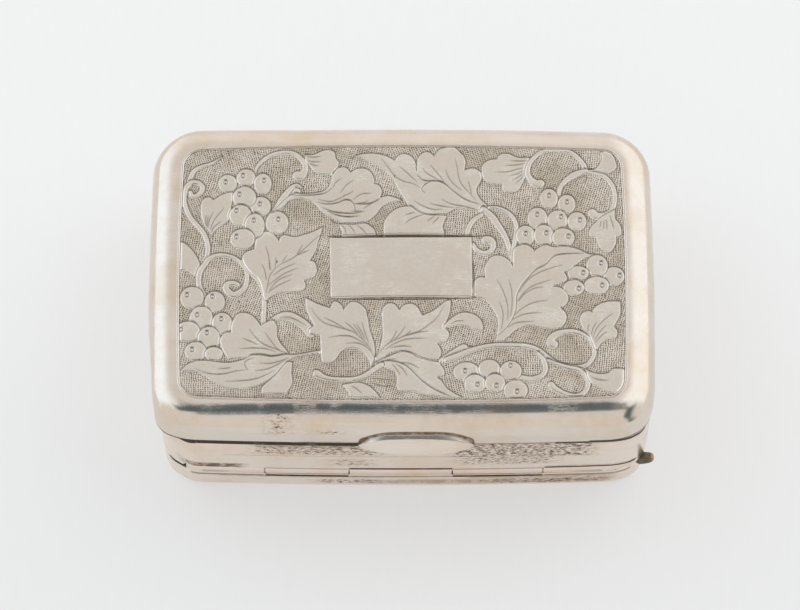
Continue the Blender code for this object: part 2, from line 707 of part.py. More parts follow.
def make_hinges(parts, cutters, bodies, wall, ledge, tray, frame, plate):
    """The three hinges and the rebates that their barrels lie in."""
    case_body, lid_body, base_body, grille_body = bodies
    lid_owners = (("lid_knuckle_left", lid_body), ("case_knuckle_rear_left", case_body),
                  ("lid_knuckle_middle", lid_body), ("case_knuckle_rear_right", case_body),
                  ("lid_knuckle_right", lid_body))
    base_owners = (("base_knuckle_left", base_body), ("case_knuckle_front_left", case_body),
                   ("base_knuckle_middle", base_body), ("case_knuckle_front_right", case_body),
                   ("base_knuckle_right", base_body))
    for owners, span, axis, pin_name in ((lid_owners, LID_HINGE_SPAN, LID_AXIS, "lid_hinge_pin"),
                                         (base_owners, BASE_HINGE_SPAN, BASE_AXIS, "base_hinge_pin")):
        make_barrel(owners, KNUCKLE_SHARES, span, BARREL_RADIUS, BARREL_BORE, BARREL_SIDES,
                    axis, SILVER, parts)
        make_pin(pin_name, PIN_RADIUS, span, axis, case_body, parts)
    for item, name, span, own_first, axis in (
            (wall, "case_rear_rebate", LID_HINGE_SPAN, False, LID_AXIS),
            (frame, "lid_rebate", LID_HINGE_SPAN, True, LID_AXIS),
            (wall, "case_front_rebate", BASE_HINGE_SPAN, False, BASE_AXIS),
            (tray, "base_rebate", BASE_HINGE_SPAN, True, BASE_AXIS)):
        cut(item, rebate(name, span, KNUCKLE_SHARES, BARREL_RADIUS, own_first, BARREL_SIDES,
                         axis, cutters))

    owners = (("ledge_knuckle_left", case_body), ("grille_knuckle", grille_body),
              ("ledge_knuckle_right", case_body))
    make_barrel(owners, GRILLE_KNUCKLE_SHARES, GRILLE_HINGE_SPAN, GRILLE_BARREL_RADIUS,
                GRILLE_BARREL_BORE, GRILLE_BARREL_SIDES, GRILLE_AXIS, GILT, parts)
    make_pin("grille_hinge_pin", GRILLE_PIN_RADIUS, GRILLE_HINGE_SPAN, GRILLE_AXIS, case_body, parts)
    for item, name, own_first in ((ledge, "ledge_rebate", True), (plate, "grille_rebate", False)):
        cut(item, rebate(name, GRILLE_HINGE_SPAN, GRILLE_KNUCKLE_SHARES, GRILLE_BARREL_RADIUS,
                         own_first, GRILLE_BARREL_SIDES, GRILLE_AXIS, cutters))


def main():
    clear_scene()
    parts = new_collection(COLLECTION_NAME)
    cutters = new_collection(CUTTER_COLLECTION_NAME)
    case_body = new_body("case_body", Vector((0.0, 0.0, 0.0)), parts)
    lid_body = new_body("lid_body", Vector((0.0, *LID_AXIS)), parts, case_body)
    base_body = new_body("base_lid_body", Vector((0.0, *BASE_AXIS)), parts, case_body)
    grille_body = new_body("grille_body", Vector((0.0, *GRILLE_AXIS)), parts, case_body)
    wall, ledge = make_case(parts, cutters, case_body)
    tray = make_base_lid(parts, cutters, base_body)
    frame = make_lid(parts, lid_body)
    plate = make_grille(parts, cutters, grille_body)
    make_hinges(parts, cutters, (case_body, lid_body, base_body, grille_body),
                wall, ledge, tray, frame, plate)


main()
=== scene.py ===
import math
import bmesh
import bpy
import numpy as np
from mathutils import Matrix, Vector


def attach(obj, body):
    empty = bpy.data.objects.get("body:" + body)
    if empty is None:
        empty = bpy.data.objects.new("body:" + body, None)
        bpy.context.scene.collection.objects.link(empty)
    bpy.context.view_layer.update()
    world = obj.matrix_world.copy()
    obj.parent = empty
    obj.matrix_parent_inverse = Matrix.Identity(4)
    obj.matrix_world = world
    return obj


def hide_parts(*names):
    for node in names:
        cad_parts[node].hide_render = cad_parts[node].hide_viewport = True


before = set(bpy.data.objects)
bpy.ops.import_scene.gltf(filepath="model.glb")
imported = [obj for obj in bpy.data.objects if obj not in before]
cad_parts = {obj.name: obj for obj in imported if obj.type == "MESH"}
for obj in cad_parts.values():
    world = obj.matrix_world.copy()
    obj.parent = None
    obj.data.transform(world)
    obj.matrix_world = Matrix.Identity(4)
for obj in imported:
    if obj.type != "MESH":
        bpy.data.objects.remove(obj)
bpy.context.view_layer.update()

# A small silver vinaigrette with an engraved lid, dressed over its CAD frame.
# Lengths in the numpy work are in millimetres, and become metres when a mesh is made.
millimetre = 0.001
scene = bpy.context.scene

# The camera of the photograph: 65 degrees above the table, straight from the front, a long lens
camera = {
    "elevation": 65.0,
    "focalLength": 225.0, "sensorWidth": 36.0,
    "distance": 447.2,
    "lookAt": (-0.2, -1.58, 11.0),
    "imageWidth": 800, "imageHeight": 610,
}
# The camera stands at lookAt - distance * forward, with forward = (0, cos e, -sin e) at elevation e
lift = math.radians(camera["elevation"])
sightLine = np.array([0, math.cos(lift), -math.sin(lift)])
sightUp = np.array([0, math.sin(lift), math.cos(lift)])
cameraPlace = np.array(camera["lookAt"]) - camera["distance"] * sightLine

box = {
    "width": 45.0, "depth": 30.3, "cornerRadius": 4.2, "innerRadius": 0.5,
    "frontBow": 0.45, "endBow": 0.3,
    "baseSeam": 4.0, "lidSeam": 11.0, "top": 14.6, "halfSeam": 0.06,
    "wall": 0.6, "caseInset": 0.25, "baseInset": 0.35, "rimRound": 0.07,
    "barrelRadius": 0.65, "boreRadius": 0.30, "snugGap": 0.04, "runningGap": 0.12,
    "notchDepth": 1.3,          # of the wall that bends where a barrel lies in its rim
    "rearAxis": (14.63, 11.0), "frontAxis": (-14.50, 4.0),
    "rearSpan": (-19.2, 19.2), "frontSpan": (-19.4, 20.6),
    "knuckleShares": (0.0, 0.177, 0.366, 0.597, 0.80, 1.0), "knuckleGap": 0.10,
}


# Meshes

# Points in millimetres, faces as a list of integer arrays with 3 or 4 columns
def buildMesh(name, points, faces, body, slot, materials, nodes, faceMaterial=None):
    mesh = bpy.data.meshes.new(name)
    counts = np.concatenate([np.full(len(part), part.shape[1]) for part in faces])
    corners = np.concatenate([part.ravel() for part in faces]).astype(np.int32)
    mesh.vertices.add(len(points))
    mesh.vertices.foreach_set("co", (points * millimetre).astype(np.float32).ravel())
    mesh.loops.add(len(corners))
    mesh.loops.foreach_set("vertex_index", corners)
    mesh.polygons.add(len(counts))
    starts = np.concatenate([[0], np.cumsum(counts)[:-1]]).astype(np.int32)
    mesh.polygons.foreach_set("loop_start", starts)
    mesh.polygons.foreach_set("use_smooth", np.full(len(counts), True))
    if faceMaterial is not None:
        mesh.polygons.foreach_set("material_index", np.concatenate(faceMaterial).astype(np.int32))
    mesh.update(calc_edges=True)
    mesh.validate()
    piece = bpy.data.objects.new(name, mesh)
    scene.collection.objects.link(piece)
    for material in materials:
        mesh.materials.append(material)
    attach(piece, body)
    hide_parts(*nodes)
    return piece


# Quads of a grid: point (r, c) has index r * columns + c
def gridFaces(rows, columns, closeRows=False, closeColumns=False):
    r = np.arange(rows if closeRows else rows - 1)[:, None]
    c = np.arange(columns if closeColumns else columns - 1)[None, :]
    below, after = (r + 1) % rows, (c + 1) % columns
    quads = np.stack(np.broadcast_arrays(r * columns + c, r * columns + after,
                                         below * columns + after, below * columns + c), axis=-1)
    return quads.reshape(-1, 4)


# A tube of loops with a fan round one point at each end: its points, then its faces, turned over if asked
def capped(rows, firstPoint, lastPoint, turnedOver=False):
    count, columns = rows.shape[:2]
    points = np.concatenate([rows.reshape(-1, 3), [firstPoint, lastPoint]])
    ring = np.arange(columns)
    last = (count - 1) * columns + ring
    faces = [gridFaces(count, columns, closeColumns=True),
             np.stack([np.roll(ring, -1), ring, np.full(columns, len(points) - 2)], axis=1),
             np.stack([last, np.roll(last, -1), np.full(columns, len(points) - 1)], axis=1)]
    if turnedOver:
        faces = [part[:, ::-1] for part in faces]
    return points, faces


# Make the faces of a closed piece point outwards
def outward(piece):
    model = bmesh.new()
    model.from_mesh(piece.data)
    bmesh.ops.recalc_face_normals(model, faces=model.faces)
    model.to_mesh(piece.data)
    model.free()


# Round a path of (inset, z, radius) corners: each corner becomes an arc tangent to both legs
def rounded(corners, steps=5, support=0.03):
    path = []
    count = len(corners)
    for index, (inset, height, radius) in enumerate(corners):
        here = np.array([inset, height])
        if radius == 0:
            path.append(here)
            continue
        toward = np.array(corners[index - 1][:2]) - here
        onward = np.array(corners[(index + 1) % count][:2]) - here
        toward, onward = toward / np.linalg.norm(toward), onward / np.linalg.norm(onward)
        half = math.acos(np.clip(toward @ onward, -1, 1)) / 2
        reach = radius / math.tan(half)
        middle = here + (toward + onward) / np.linalg.norm(toward + onward) * radius / math.sin(half)
        first, last = here + toward * reach - middle, here + onward * reach - middle
        sweep = math.pi - 2 * half
        path.append(middle + first + toward * support)
        for share in np.arange(steps + 1) / steps:
            mixed = first * math.sin((1 - share) * sweep) + last * math.sin(share * sweep)
            path.append(middle + mixed / math.sin(sweep))
        path.append(middle + last + onward * support)
    return np.array(path)


# Catmull-Rom through the points: q = (2b + (c-a) t + (2a-5b+4c-d) t^2 + (3b-a-3c+d) t^3) / 2
def smoothPath(points, perSpan=5):
    if len(points) < 3:
        return points
    padded = np.vstack([2 * points[0] - points[1], points, 2 * points[-1] - points[-2]])
    t = np.linspace(0, 1, perSpan, endpoint=False)[None, :, None]
    a, b, c, d = (padded[i:len(padded) - 3 + i, None] for i in range(4))
    q = 0.5 * (2 * b + (c - a) * t + (2 * a - 5 * b + 4 * c - d) * t ** 2 + (3 * b - a - 3 * c + d) * t ** 3)
    return np.vstack([q.reshape(-1, points.shape[1]), points[-1:]])


# t^2 (3 - 2 t), from 0 to 1
def smoothStep(t):
    return t ** 2 * (3 - 2 * t)


# The plan of the box

# Half length, half depth and corner radius of the plan before its sides are bowed, moved in by inset
def halves(inset):
    return (box["width"] / 2 - box["endBow"] - inset, box["depth"] / 2 - box["frontBow"] - inset,
            np.maximum(box["cornerRadius"] - inset, box["innerRadius"]))


# x += endBow (x / hx) (1 - (y / hy)^2) and y += frontBow (y / hy) (1 - (x / hx)^2)
def bowed(x, y, halfX, halfY):
    return (x + box["endBow"] * (x / halfX) * (1 - (y / halfY) ** 2),
            y + box["frontBow"] * (y / halfY) * (1 - (x / halfX) ** 2))


# Half depth of the plan at one x of its straight part
def sideY(x, inset):
    halfX, halfY, _ = halves(inset)
    return halfY + box["frontBow"] * (1 - (x / halfX) ** 2)


# Half depth of the plan at one x, round the corners too
def planY(x, inset):
    halfX, halfY, radius = halves(inset)
    over = np.clip(np.abs(x) - (halfX - radius), 0, radius)
    y = halfY - radius + np.sqrt(radius ** 2 - over ** 2)
    return y + box["frontBow"] * (y / halfY) * (1 - np.clip(np.abs(x) / halfX, 0, 1) ** 2)


# The x of the ends of five knuckles
def joints(span):
    return span[0] + np.array(box["knuckleShares"]) * (span[1] - span[0])


straightX, straightY = (half - box["cornerRadius"] for half in halves(0.0)[:2])
# The plan has points close to either side of each knuckle's end, so that the notches have clean edges
notchEdge = 0.006
jointMarks = np.abs(np.concatenate([joints(box["rearSpan"])[1:-1], joints(box["frontSpan"])[1:-1]]))
sideMarks = np.linspace(0, straightX, 27)
sideMarks = np.unique(np.concatenate([sideMarks, jointMarks - notchEdge, jointMarks + notchEdge]))
endMarks = np.linspace(0, straightY, 9)
spanEnds = np.abs(np.array(box["rearSpan"] + box["frontSpan"])) - straightX
arcMarks = np.unique(np.concatenate([[0.0, 0.4, 0.8, 1.6, 2.0], spanEnds - notchEdge, spanEnds + notchEdge]))


# Plan of the box, moved in by inset: a rounded rectangle with bowed sides
def planLoop(inset):
    halfX, halfY, radius = halves(inset)
    centreX, centreY = halfX - radius, halfY - radius
    marks = arcMarks * min(1.0, radius / 3.0)
    angles = np.arcsin(marks / radius)
    angles = np.concatenate([angles, np.linspace(angles[-1], math.pi / 2, 10)[1:]])
    side = np.stack([sideMarks * centreX / straightX, np.full(len(sideMarks), halfY)], axis=1)
    arc = np.stack([centreX + radius * np.sin(angles), centreY + radius * np.cos(angles)], axis=1)
    end = np.stack([np.full(len(endMarks), halfX), endMarks[::-1] * centreY / straightY], axis=1)
    quarter = np.concatenate([side, arc[1:], end[1:]])          # from (0, hy) round to (hx, 0)
    right = np.concatenate([quarter, quarter[::-1][1:] * (1, -1)])
    left = right[::-1][1:-1] * (-1, 1)
    x, y = np.concatenate([right, left]).T
    return np.stack(bowed(x, y, halfX, halfY), axis=1)


# A profile of (inset, z) carried round the plan: rows follow the profile, columns the plan
def carried(profile):
    loops = [(planLoop(inset), z) for inset, z in profile]
    return np.array([np.column_stack([loop, np.full(len(loop), z)]) for loop, z in loops])


# Lift the rim over a hinge barrel: z += t (limit - rim), t = 1 at the rim and 0 at notchDepth from it,
# limit = axis z + direction sqrt(R^2 - (y - axis y)^2)
def notched(rows, axis, span, side, direction, ownFirst):
    x, y, z = rows[..., 0], rows[..., 1], rows[..., 2]
    which = np.searchsorted(joints(span), x) - 1
    own = (which % 2 == 0) == ownFirst
    radius = box["barrelRadius"] + np.where(own, box["snugGap"], box["runningGap"])
    off = y - axis[0]
    limit = axis[1] + direction * np.sqrt(np.maximum(radius ** 2 - off ** 2, 0.0))
    rim = axis[1] + direction * box["halfSeam"]
    share = np.clip(1 - direction * (z - rim) / box["notchDepth"], 0, 1)
    lift = np.maximum(direction * (limit - rim), 0.0) * direction
    inside = (x > span[0]) & (x < span[1]) & (y * side > 0) & (np.abs(off) < radius)
    lifted = rows.copy()
    lifted[..., 2] = z + np.where(inside, share * lift, 0.0)
    return lifted


# A closed ring: rows close on themselves, and the inner rows have the second material
def ringShell(name, rows, body, node, materials, innerRows):
    count, columns = rows.shape[:2]
    faces = gridFaces(count, columns, closeRows=True, closeColumns=True)
    marks = np.repeat(np.isin(np.arange(count), innerRows).astype(int), columns)
    return buildMesh(name, rows.reshape(-1, 3), [faces], body, "silver", materials, [node], [marks])


# Shader tools

# A link, a number or a colour goes to a socket
def put(tree, socket, value):
    if isinstance(value, bpy.types.NodeSocket):
        tree.links.new(value, socket)
    else:
        socket.default_value = value


# One node; settings are its properties, values go to its inputs by name, or by number as i0, i1
def add(tree, kind, settings=None, **values):
    made = tree.nodes.new(kind)
    for key, value in (settings or {}).items():
        setattr(made, key, value)
    for key, value in values.items():
        numbered = key[0] == "i" and key[1:].isdigit()
        put(tree, made.inputs[int(key[1:]) if numbered else key.replace("_", " ")], value)
    return made


# One arithmetic node: the operation on first and second, kept from 0 to 1 where clamp is set
def maths(tree, operation, first, second=0.0, clamp=False):
    settings = {"operation": operation, "use_clamp": clamp}
    return add(tree, "ShaderNodeMath", settings, i0=first, i1=second).outputs[0]


# One operation carried along a row of values, from the left
def chained(tree, operation, first, *others, clamp=False):
    for other in others:
        first = maths(tree, operation, first, other, clamp=clamp)
    return first


# The parts multiplied together
def product(tree, *parts, clamp=False):
    return chained(tree, "MULTIPLY", *parts, clamp=clamp)


# The parts added together
def total(tree, *parts, clamp=False):
    return chained(tree, "ADD", *parts, clamp=clamp)


# The largest of the parts
def largest(tree, *parts):
    return chained(tree, "MAXIMUM", *parts)


# base + value * share for each pair
def weighted(tree, base, *pairs):
    return total(tree, base, *(product(tree, value, share) for value, share in pairs))


# Smooth step of value from low to high
def ramp(tree, value, low, high, toLow=0.0, toHigh=1.0):
    return add(tree, "ShaderNodeMapRange", {"interpolation_type": "SMOOTHSTEP"}, Value=value,
               From_Min=low, From_Max=high, To_Min=toLow, To_Max=toHigh).outputs[0]


# Smooth step up at low and down at high
def between(tree, value, low, high, soft):
    return product(tree, ramp(tree, value, low - soft, low + soft),
                   ramp(tree, value, high - soft, high + soft, 1.0, 0.0))


# first (1 - share) + second share, for each part of the colour
def mixColour(tree, share, first, second):
    made = add(tree, "ShaderNodeMix", {"data_type": "RGBA"}, i0=share)
    for socket, value in zip(made.inputs[6:8], (first, second)):
        put(tree, socket, value if isinstance(value, bpy.types.NodeSocket) else tinted(value))
    return made.outputs[2]


# A colour with its parts multiplied by shares, and an alpha of 1
def tinted(colour, shares=(1.0, 1.0, 1.0)):
    return tuple(part * share for part, share in zip(colour, shares)) + (1.0,)


# Noise of about 0 to 1: each finer octave has roughness times the height of the one before
def noise(tree, vector, scale, detail=2.0, roughness=0.5):
    values = {"Vector": vector, "Scale": scale, "Detail": detail, "Roughness": roughness}
    return add(tree, "ShaderNodeTexNoise", **values).outputs[0]


# The vector scaled, then rotated
def mapped(tree, vector, scale, rotation=(0.0, 0.0, 0.0)):
    return add(tree, "ShaderNodeMapping", Vector=vector, Rotation=rotation, Scale=scale).outputs[0]


# The x, y and z of a vector
def axes(tree, vector):
    return add(tree, "ShaderNodeSeparateXYZ", Vector=vector).outputs


# Object coordinates, in millimetres
def millimetres(tree):
    place = tree.nodes.new("ShaderNodeTexCoord").outputs["Object"]
    scaled = add(tree, "ShaderNodeVectorMath", {"operation": "SCALE"}, i0=place, Scale=1 / millimetre)
    return scaled.outputs[0]


# A new node group; inputs are name: value, a colour where the value is a tuple and a vector where it is None
def group(name, inputs, outputs):
    kinds = {float: "NodeSocketFloat", tuple: "NodeSocketColor", type(None): "NodeSocketVector"}
    tree = bpy.data.node_groups.new(name, "ShaderNodeTree")
    for label, value in inputs.items():
        socket = tree.interface.new_socket(label, in_out="INPUT", socket_type=kinds[type(value)])
        if value is not None:
            socket.default_value = value
    for label, value in outputs.items():
        tree.interface.new_socket(label, in_out="OUTPUT", socket_type=kinds[type(value)])
    return tree, tree.nodes.new("NodeGroupInput").outputs, tree.nodes.new("NodeGroupOutput").inputs


# The outputs of one use of a group, with values for its inputs
def useGroup(tree, groupTree, **values):
    return add(tree, "ShaderNodeGroup", {"node_tree": groupTree}, **values).outputs


# A new material, its tree and its Principled shader; shown is its colour in the viewport
def newMaterial(name, shown):
    material = bpy.data.materials.new(name)
    material.use_nodes = True
    material.diffuse_color = shown + (1.0,)
    tree = material.node_tree
    return material, tree, tree.nodes["Principled BSDF"]


# The height goes to the normal through a bump node, and the values to the shader's inputs by name
def dress(tree, shader, height, strength, distance, **values):
    bump = add(tree, "ShaderNodeBump", Height=height, Strength=strength, Distance=distance)
    values["Normal"] = bump.outputs[0]
    for key, value in values.items():
        put(tree, shader.inputs[key.replace("_", " ")], value)


# Fine scratches: noise stretched along three directions, thin bands of it kept as grooves
def makeScratchGroup():
    tree, given, out = group("scratches", {"Place": None, "Density": 0.5}, {"Height": 0.0, "Roughness": 0.0})
    grooves = []
    for turn, scale in (((0.3, 0.2, 0.5), (0.25, 7.0, 7.0)), ((0.1, -0.3, 2.2), (0.2, 6.0, 6.0)),
                        ((-0.2, 0.1, 1.2), (0.3, 9.0, 9.0))):
        value = noise(tree, mapped(tree, given["Place"], scale, turn), 1.0, 2.0, 0.55)
        band = maths(tree, "ABSOLUTE", maths(tree, "SUBTRACT", value, 0.5))
        here = ramp(tree, noise(tree, given["Place"], 0.45), 0.45, 0.65)
        grooves.append(product(tree, ramp(tree, band, 0.0, 0.02, 1.0, 0.0), here))
    depth = product(tree, largest(tree, *grooves), given["Density"])
    put(tree, out["Height"], product(tree, depth, -1.0))
    put(tree, out["Roughness"], depth)
    return tree


# Warm cloudy tarnish, and brown specks wherever noise exceeds 0.8 - 0.255 amount
def makeTarnishGroup():
    tree, given, out = group("tarnish", {"Place": None, "Amount": 0.0, "Clean": (0.8, 0.8, 0.8, 1.0),
                                         "Cloud": (0.7, 0.6, 0.5, 1.0), "Speck": (0.1, 0.06, 0.04, 1.0),
                                         "Cloudiness": 0.4}, {"Colour": (), "Dullness": 0.0})
    place, amount, cloudiness = given["Place"], given["Amount"], given["Cloudiness"]
    cloud = product(tree, ramp(tree, noise(tree, place, 0.16, 4.0, 0.6), 0.42, 0.72), cloudiness)
    base = mixColour(tree, cloud, given["Clean"], given["Cloud"])
    streaks = noise(tree, mapped(tree, place, (0.12, 0.8, 2.2)), 1.0, 4.0, 0.6)
    streaks = product(tree, ramp(tree, streaks, 0.45, 0.75, 0.0, 0.5), cloudiness)
    base = mixColour(tree, streaks, base, given["Cloud"])
    fine = noise(tree, mapped(tree, place, (0.9, 1.0, 2.5)), 2.3, 5.0, 0.72)
    haze = product(tree, amount, ramp(tree, fine, 0.40, 0.62, 0.0, 0.55))
    base = mixColour(tree, haze, base, (0.42, 0.27, 0.14))
    limit = maths(tree, "SUBTRACT", 0.80, product(tree, amount, 0.255))
    speck = product(tree, maths(tree, "SUBTRACT", fine, limit), 26.0, clamp=True)
    put(tree, out["Colour"], mixColour(tree, speck, base, given["Speck"]))
    put(tree, out["Dullness"], total(tree, product(tree, cloud, 0.08), speck, clamp=True))
    return tree


# Crossed graver lines: u, v = the place turned by Turn, height = max(|cos pi u / p|, |cos pi v / p|),
# with the second lines a little closer, and pits where neither line is near
def makeHatchGroup():
    tree, given, out = group("hatching", {"Place": None, "Turn": 0.0, "Pitch": 0.2},
                             {"Height": 0.0, "Pits": 0.0})
    shaken = add(tree, "ShaderNodeTexNoise", Vector=given["Place"], Scale=2.2, Detail=2.0).outputs["Color"]
    shifted = add(tree, "ShaderNodeVectorMath", {"operation": "MULTIPLY_ADD"},
                  i0=shaken, i1=(0.26, 0.26, 0.0), i2=given["Place"]).outputs[0]
    turned = add(tree, "ShaderNodeVectorRotate", {"rotation_type": "Z_AXIS"},
                 Vector=shifted, Angle=given["Turn"])
    waves = []
    for part, share in zip(axes(tree, turned.outputs[0]), (1.0, 1.12)):
        step = product(tree, maths(tree, "DIVIDE", part, given["Pitch"]), math.pi * share)
        waves.append(maths(tree, "ABSOLUTE", maths(tree, "COSINE", step)))
    ridge = largest(tree, *waves)
    put(tree, out["Height"], ridge)
    size = ramp(tree, noise(tree, given["Place"], 3.0, 2.0), 0.25, 0.75, 0.62, 0.82)
    low = maths(tree, "SUBTRACT", total(tree, size, 0.16), ridge)
    put(tree, out["Pits"], product(tree, low, 5.0, clamp=True))
    return tree


scratchGroup = makeScratchGroup()
tarnishGroup = makeTarnishGroup()
hatchGroup = makeHatchGroup()

# Dirt and painted shade on the front of each piece. Specks: x from, to, z from, to, strength. Lines and
# stains: x from, to, z middle, half width, strength, and one line's rise per millimetre up to its right end.
spotless = {"specks": (), "dirtAndShadeLines": (), "stainsAndShade": ()}
lidDirtAndShade = {
    "specks": ((-12.0, -9.8, 12.6, 14.4, 0.95), (-7.8, -4.8, 12.8, 13.3, 1.05)),
    # The lines on the lower rim are painted shadow along the seam, with dirt
    "dirtAndShadeLines": ((-21.9, -3.6, 11.15, 0.16, 1.0), (16.5, 21.9, 11.14, 0.15, 0.95)),
    "stainsAndShade": ((-9.0, 2.0, 11.4, 0.15, 0.35),),
}
caseDirtAndShade = {
    "specks": ((-13.4, -1.5, 7.9, 10.2, 1.10), (-6.5, -2.4, 5.4, 7.0, 0.95),
               (4.0, 17.3, 7.4, 10.4, 1.17), (5.0, 14.0, 5.8, 7.6, 1.04)),
    "dirtAndShadeLines": (
        (-18.3, -3.8, 10.33, 0.35, 1.0), (-20.7, -18.2, 10.36, 0.40, 1.0, 0.52),    # under the lid: painted shadow of its rim, with dirt
        (13.5, 21.5, 10.42, 0.24, 0.95), (6.0, 15.5, 10.42, 0.18, 0.55),
        (-4.75, 4.5, 4.86, 0.20, 0.95), (12.7, 20.9, 4.86, 0.22, 0.9),      # over the knuckles
        (-12.3, -4.8, 4.76, 0.14, 0.45), (4.5, 12.6, 4.76, 0.14, 0.5),
        (-16.0, 17.0, 7.62, 0.07, 0.35),                                    # under the ridge
    ),
    # The first brown stain is a painted shadow above the left end of the barrel
    "stainsAndShade": ((-19.8, -14.2, 5.14, 0.50, 1.0), (-13.0, -3.6, 9.75, 0.30, 0.5),
               (12.7, 20.4, 4.98, 0.30, 0.5)),
}
baseDirtAndShade = {
    "specks": ((-8.0, -2.0, 1.3, 2.3, 1.1), (1.5, 8.5, 1.3, 2.3, 0.8), (7.5, 18.6, 1.2, 2.4, 1.08)),
    "dirtAndShadeLines": (
        (-12.3, -4.8, 2.96, 0.20, 1.0), (4.5, 12.6, 2.96, 0.20, 1.0),       # under the knuckles
        (-4.75, 4.5, 2.92, 0.15, 0.55), (12.7, 20.5, 2.94, 0.17, 0.6), (-19.0, -12.4, 2.94, 0.17, 0.65),
        (-20.9, -19.15, 3.66, 0.25, 1.0),                                   # at the left corner
    ),
    "stainsAndShade": ((-16.5, 0.0, 2.75, 0.20, 0.35), (6.0, 19.0, 2.65, 0.25, 0.45), (-4.0, 18.8, 1.75, 0.45, 0.45)),
}


# Amounts of specks, of dark lines and of brown stains, largest of their zones, on the front of the box only.
# The lines under the lid and one stain above the left barrel end are painted shadow.
def dirtAndShadeOn(tree, place, dirtAndShade):
    x, y, z = axes(tree, place)
    front = ramp(tree, y, -12.0, -9.0, 1.0, 0.0)
    specks, dark, brown = 0.0, 0.0, 0.0
    for left, right, low, high, strength in dirtAndShade["specks"]:
        zone = product(tree, between(tree, x, left, right, 1.2), between(tree, z, low, high, 0.3), strength)
        specks = largest(tree, specks, zone)
    for left, right, middle, half, strength, *rise in dirtAndShade["dirtAndShadeLines"]:
        level = z
        if rise:
            level = maths(tree, "SUBTRACT", z, product(tree, maths(tree, "SUBTRACT", x, right), rise[0]))
        line = product(tree, between(tree, x, left, right, 0.12),
                       between(tree, level, middle - half, middle + half, 0.05), strength)
        dark = largest(tree, dark, line)
    for left, right, middle, half, strength in dirtAndShade["stainsAndShade"]:
        patch = product(tree, between(tree, x, left, right, 0.8),
                        between(tree, z, middle - half, middle + half, 0.18), strength)
        brown = largest(tree, brown, patch)
    uneven = ramp(tree, noise(tree, place, 0.8, 3.0), 0.2, 0.5, 0.8, 1.0)
    patchy = ramp(tree, noise(tree, place, 1.1, 4.0, 0.65), 0.35, 0.6, 0.35, 1.0)
    return (product(tree, specks, front), product(tree, dark, front, uneven),
            product(tree, brown, front, patchy))


silver = {
    "cloudTint": (0.90, 0.79, 0.64), "speck": (0.13, 0.075, 0.04, 1.0),
    "stain": (0.15, 0.085, 0.042), "dirtAndShade": (0.030, 0.018, 0.009),
    "tarnishRough": 0.35, "scratchRough": 0.12, "cloudRough": 0.06, "stainRough": 0.2, "dirtRough": 0.8,
    "tarnishDull": 0.6, "stainDull": 0.5,
    "smallRipple": 0.22, "fineRipple": 0.05, "scratchHeight": 0.12, "speckHeight": -0.25,
    "bumpStrength": 0.6, "bumpDistance": 0.00003,
}


# Worn polished silver: cloudy tarnish, specks, seam dirt with painted shadow, scratches and a faint ripple
# from the hammer
def silverMaterial(name, colour, roughness, dirtAndShade=spotless, cloudiness=0.5, scratch=0.7, ripple=0.6,
                   crease=False):
    material, tree, shader = newMaterial(name, colour)
    place = millimetres(tree)
    specks, dark, brown = dirtAndShadeOn(tree, place, dirtAndShade)
    # The crease above the thumbpiece adds brown that is dirt and painted shade
    if crease:
        brown = largest(tree, brown, creaseOf(tree, place))
    cloudTone = tinted(colour, silver["cloudTint"])
    tarnish = useGroup(tree, tarnishGroup, Place=place, Amount=specks, Clean=tinted(colour), Cloud=cloudTone,
                       Speck=silver["speck"], Cloudiness=cloudiness)
    scratches = useGroup(tree, scratchGroup, Place=place, Density=scratch)
    stainedAndShaded = mixColour(tree, brown, tarnish["Colour"], silver["stain"])
    rough = weighted(tree, roughness, (tarnish["Dullness"], silver["tarnishRough"]),
                     (scratches["Roughness"], silver["scratchRough"]),
                     (noise(tree, place, 0.5, 3.0), silver["cloudRough"]), (brown, silver["stainRough"]))
    dull = largest(tree, product(tree, tarnish["Dullness"], silver["tarnishDull"]), dark,
                   product(tree, brown, silver["stainDull"]))
    wave = product(tree, noise(tree, place, 0.35, 1.0), ripple)
    height = weighted(tree, wave, (noise(tree, place, 1.3, 2.0), ripple * silver["smallRipple"]),
                      (noise(tree, place, 6.0, 2.0), ripple * silver["fineRipple"]),
                      (scratches["Height"], silver["scratchHeight"]),
                      (tarnish["Dullness"], silver["speckHeight"]))
    dress(tree, shader, height, silver["bumpStrength"], silver["bumpDistance"],
          # The near-black of the dark lines is dirt with painted shadow
          Base_Color=mixColour(tree, dark, stainedAndShaded, silver["dirtAndShade"]),
          Roughness=largest(tree, rough, product(tree, dark, silver["dirtRough"])),
          Metallic=maths(tree, "SUBTRACT", 1.0, dull))
    return material


# Dirt and painted shade in the crease above the thumbpiece, along z = low + rise sqrt(1 - a^4), a = (x -
# middle) / half width
def creaseOf(tree, place):
    x, y, z = axes(tree, place)
    a = maths(tree, "DIVIDE", maths(tree, "SUBTRACT", x, thumb["middle"]), thumb["width"] / 2)
    fourth = maths(tree, "POWER", maths(tree, "ABSOLUTE", a), 4.0)
    arch = maths(tree, "SQRT", maths(tree, "SUBTRACT", 1.0, fourth, clamp=True))
    over = maths(tree, "SUBTRACT", z, total(tree, product(tree, arch, thumb["rise"]), thumb["low"]))
    band = between(tree, over, thumb["creaseLow"], thumb["creaseHeight"], 0.09)
    near = ramp(tree, y, -13.5, -12.5, 1.0, 0.0)
    grime = ramp(tree, noise(tree, place, 1.6, 4.0, 0.65), 0.3, 0.6, 0.65, 1.0)
    return product(tree, band, between(tree, a, -1.03, 1.03, 0.02), near, grime)


gilt = {
    "rubbedAndHighlight": (0.78, 0.72, 0.62), "rubbedShare": 0.55, "stain": (0.30, 0.16, 0.06), "stainShare": 0.6,
    "scratch": 0.7, "bumpStrength": 0.5, "bumpDistance": 0.00003,
}


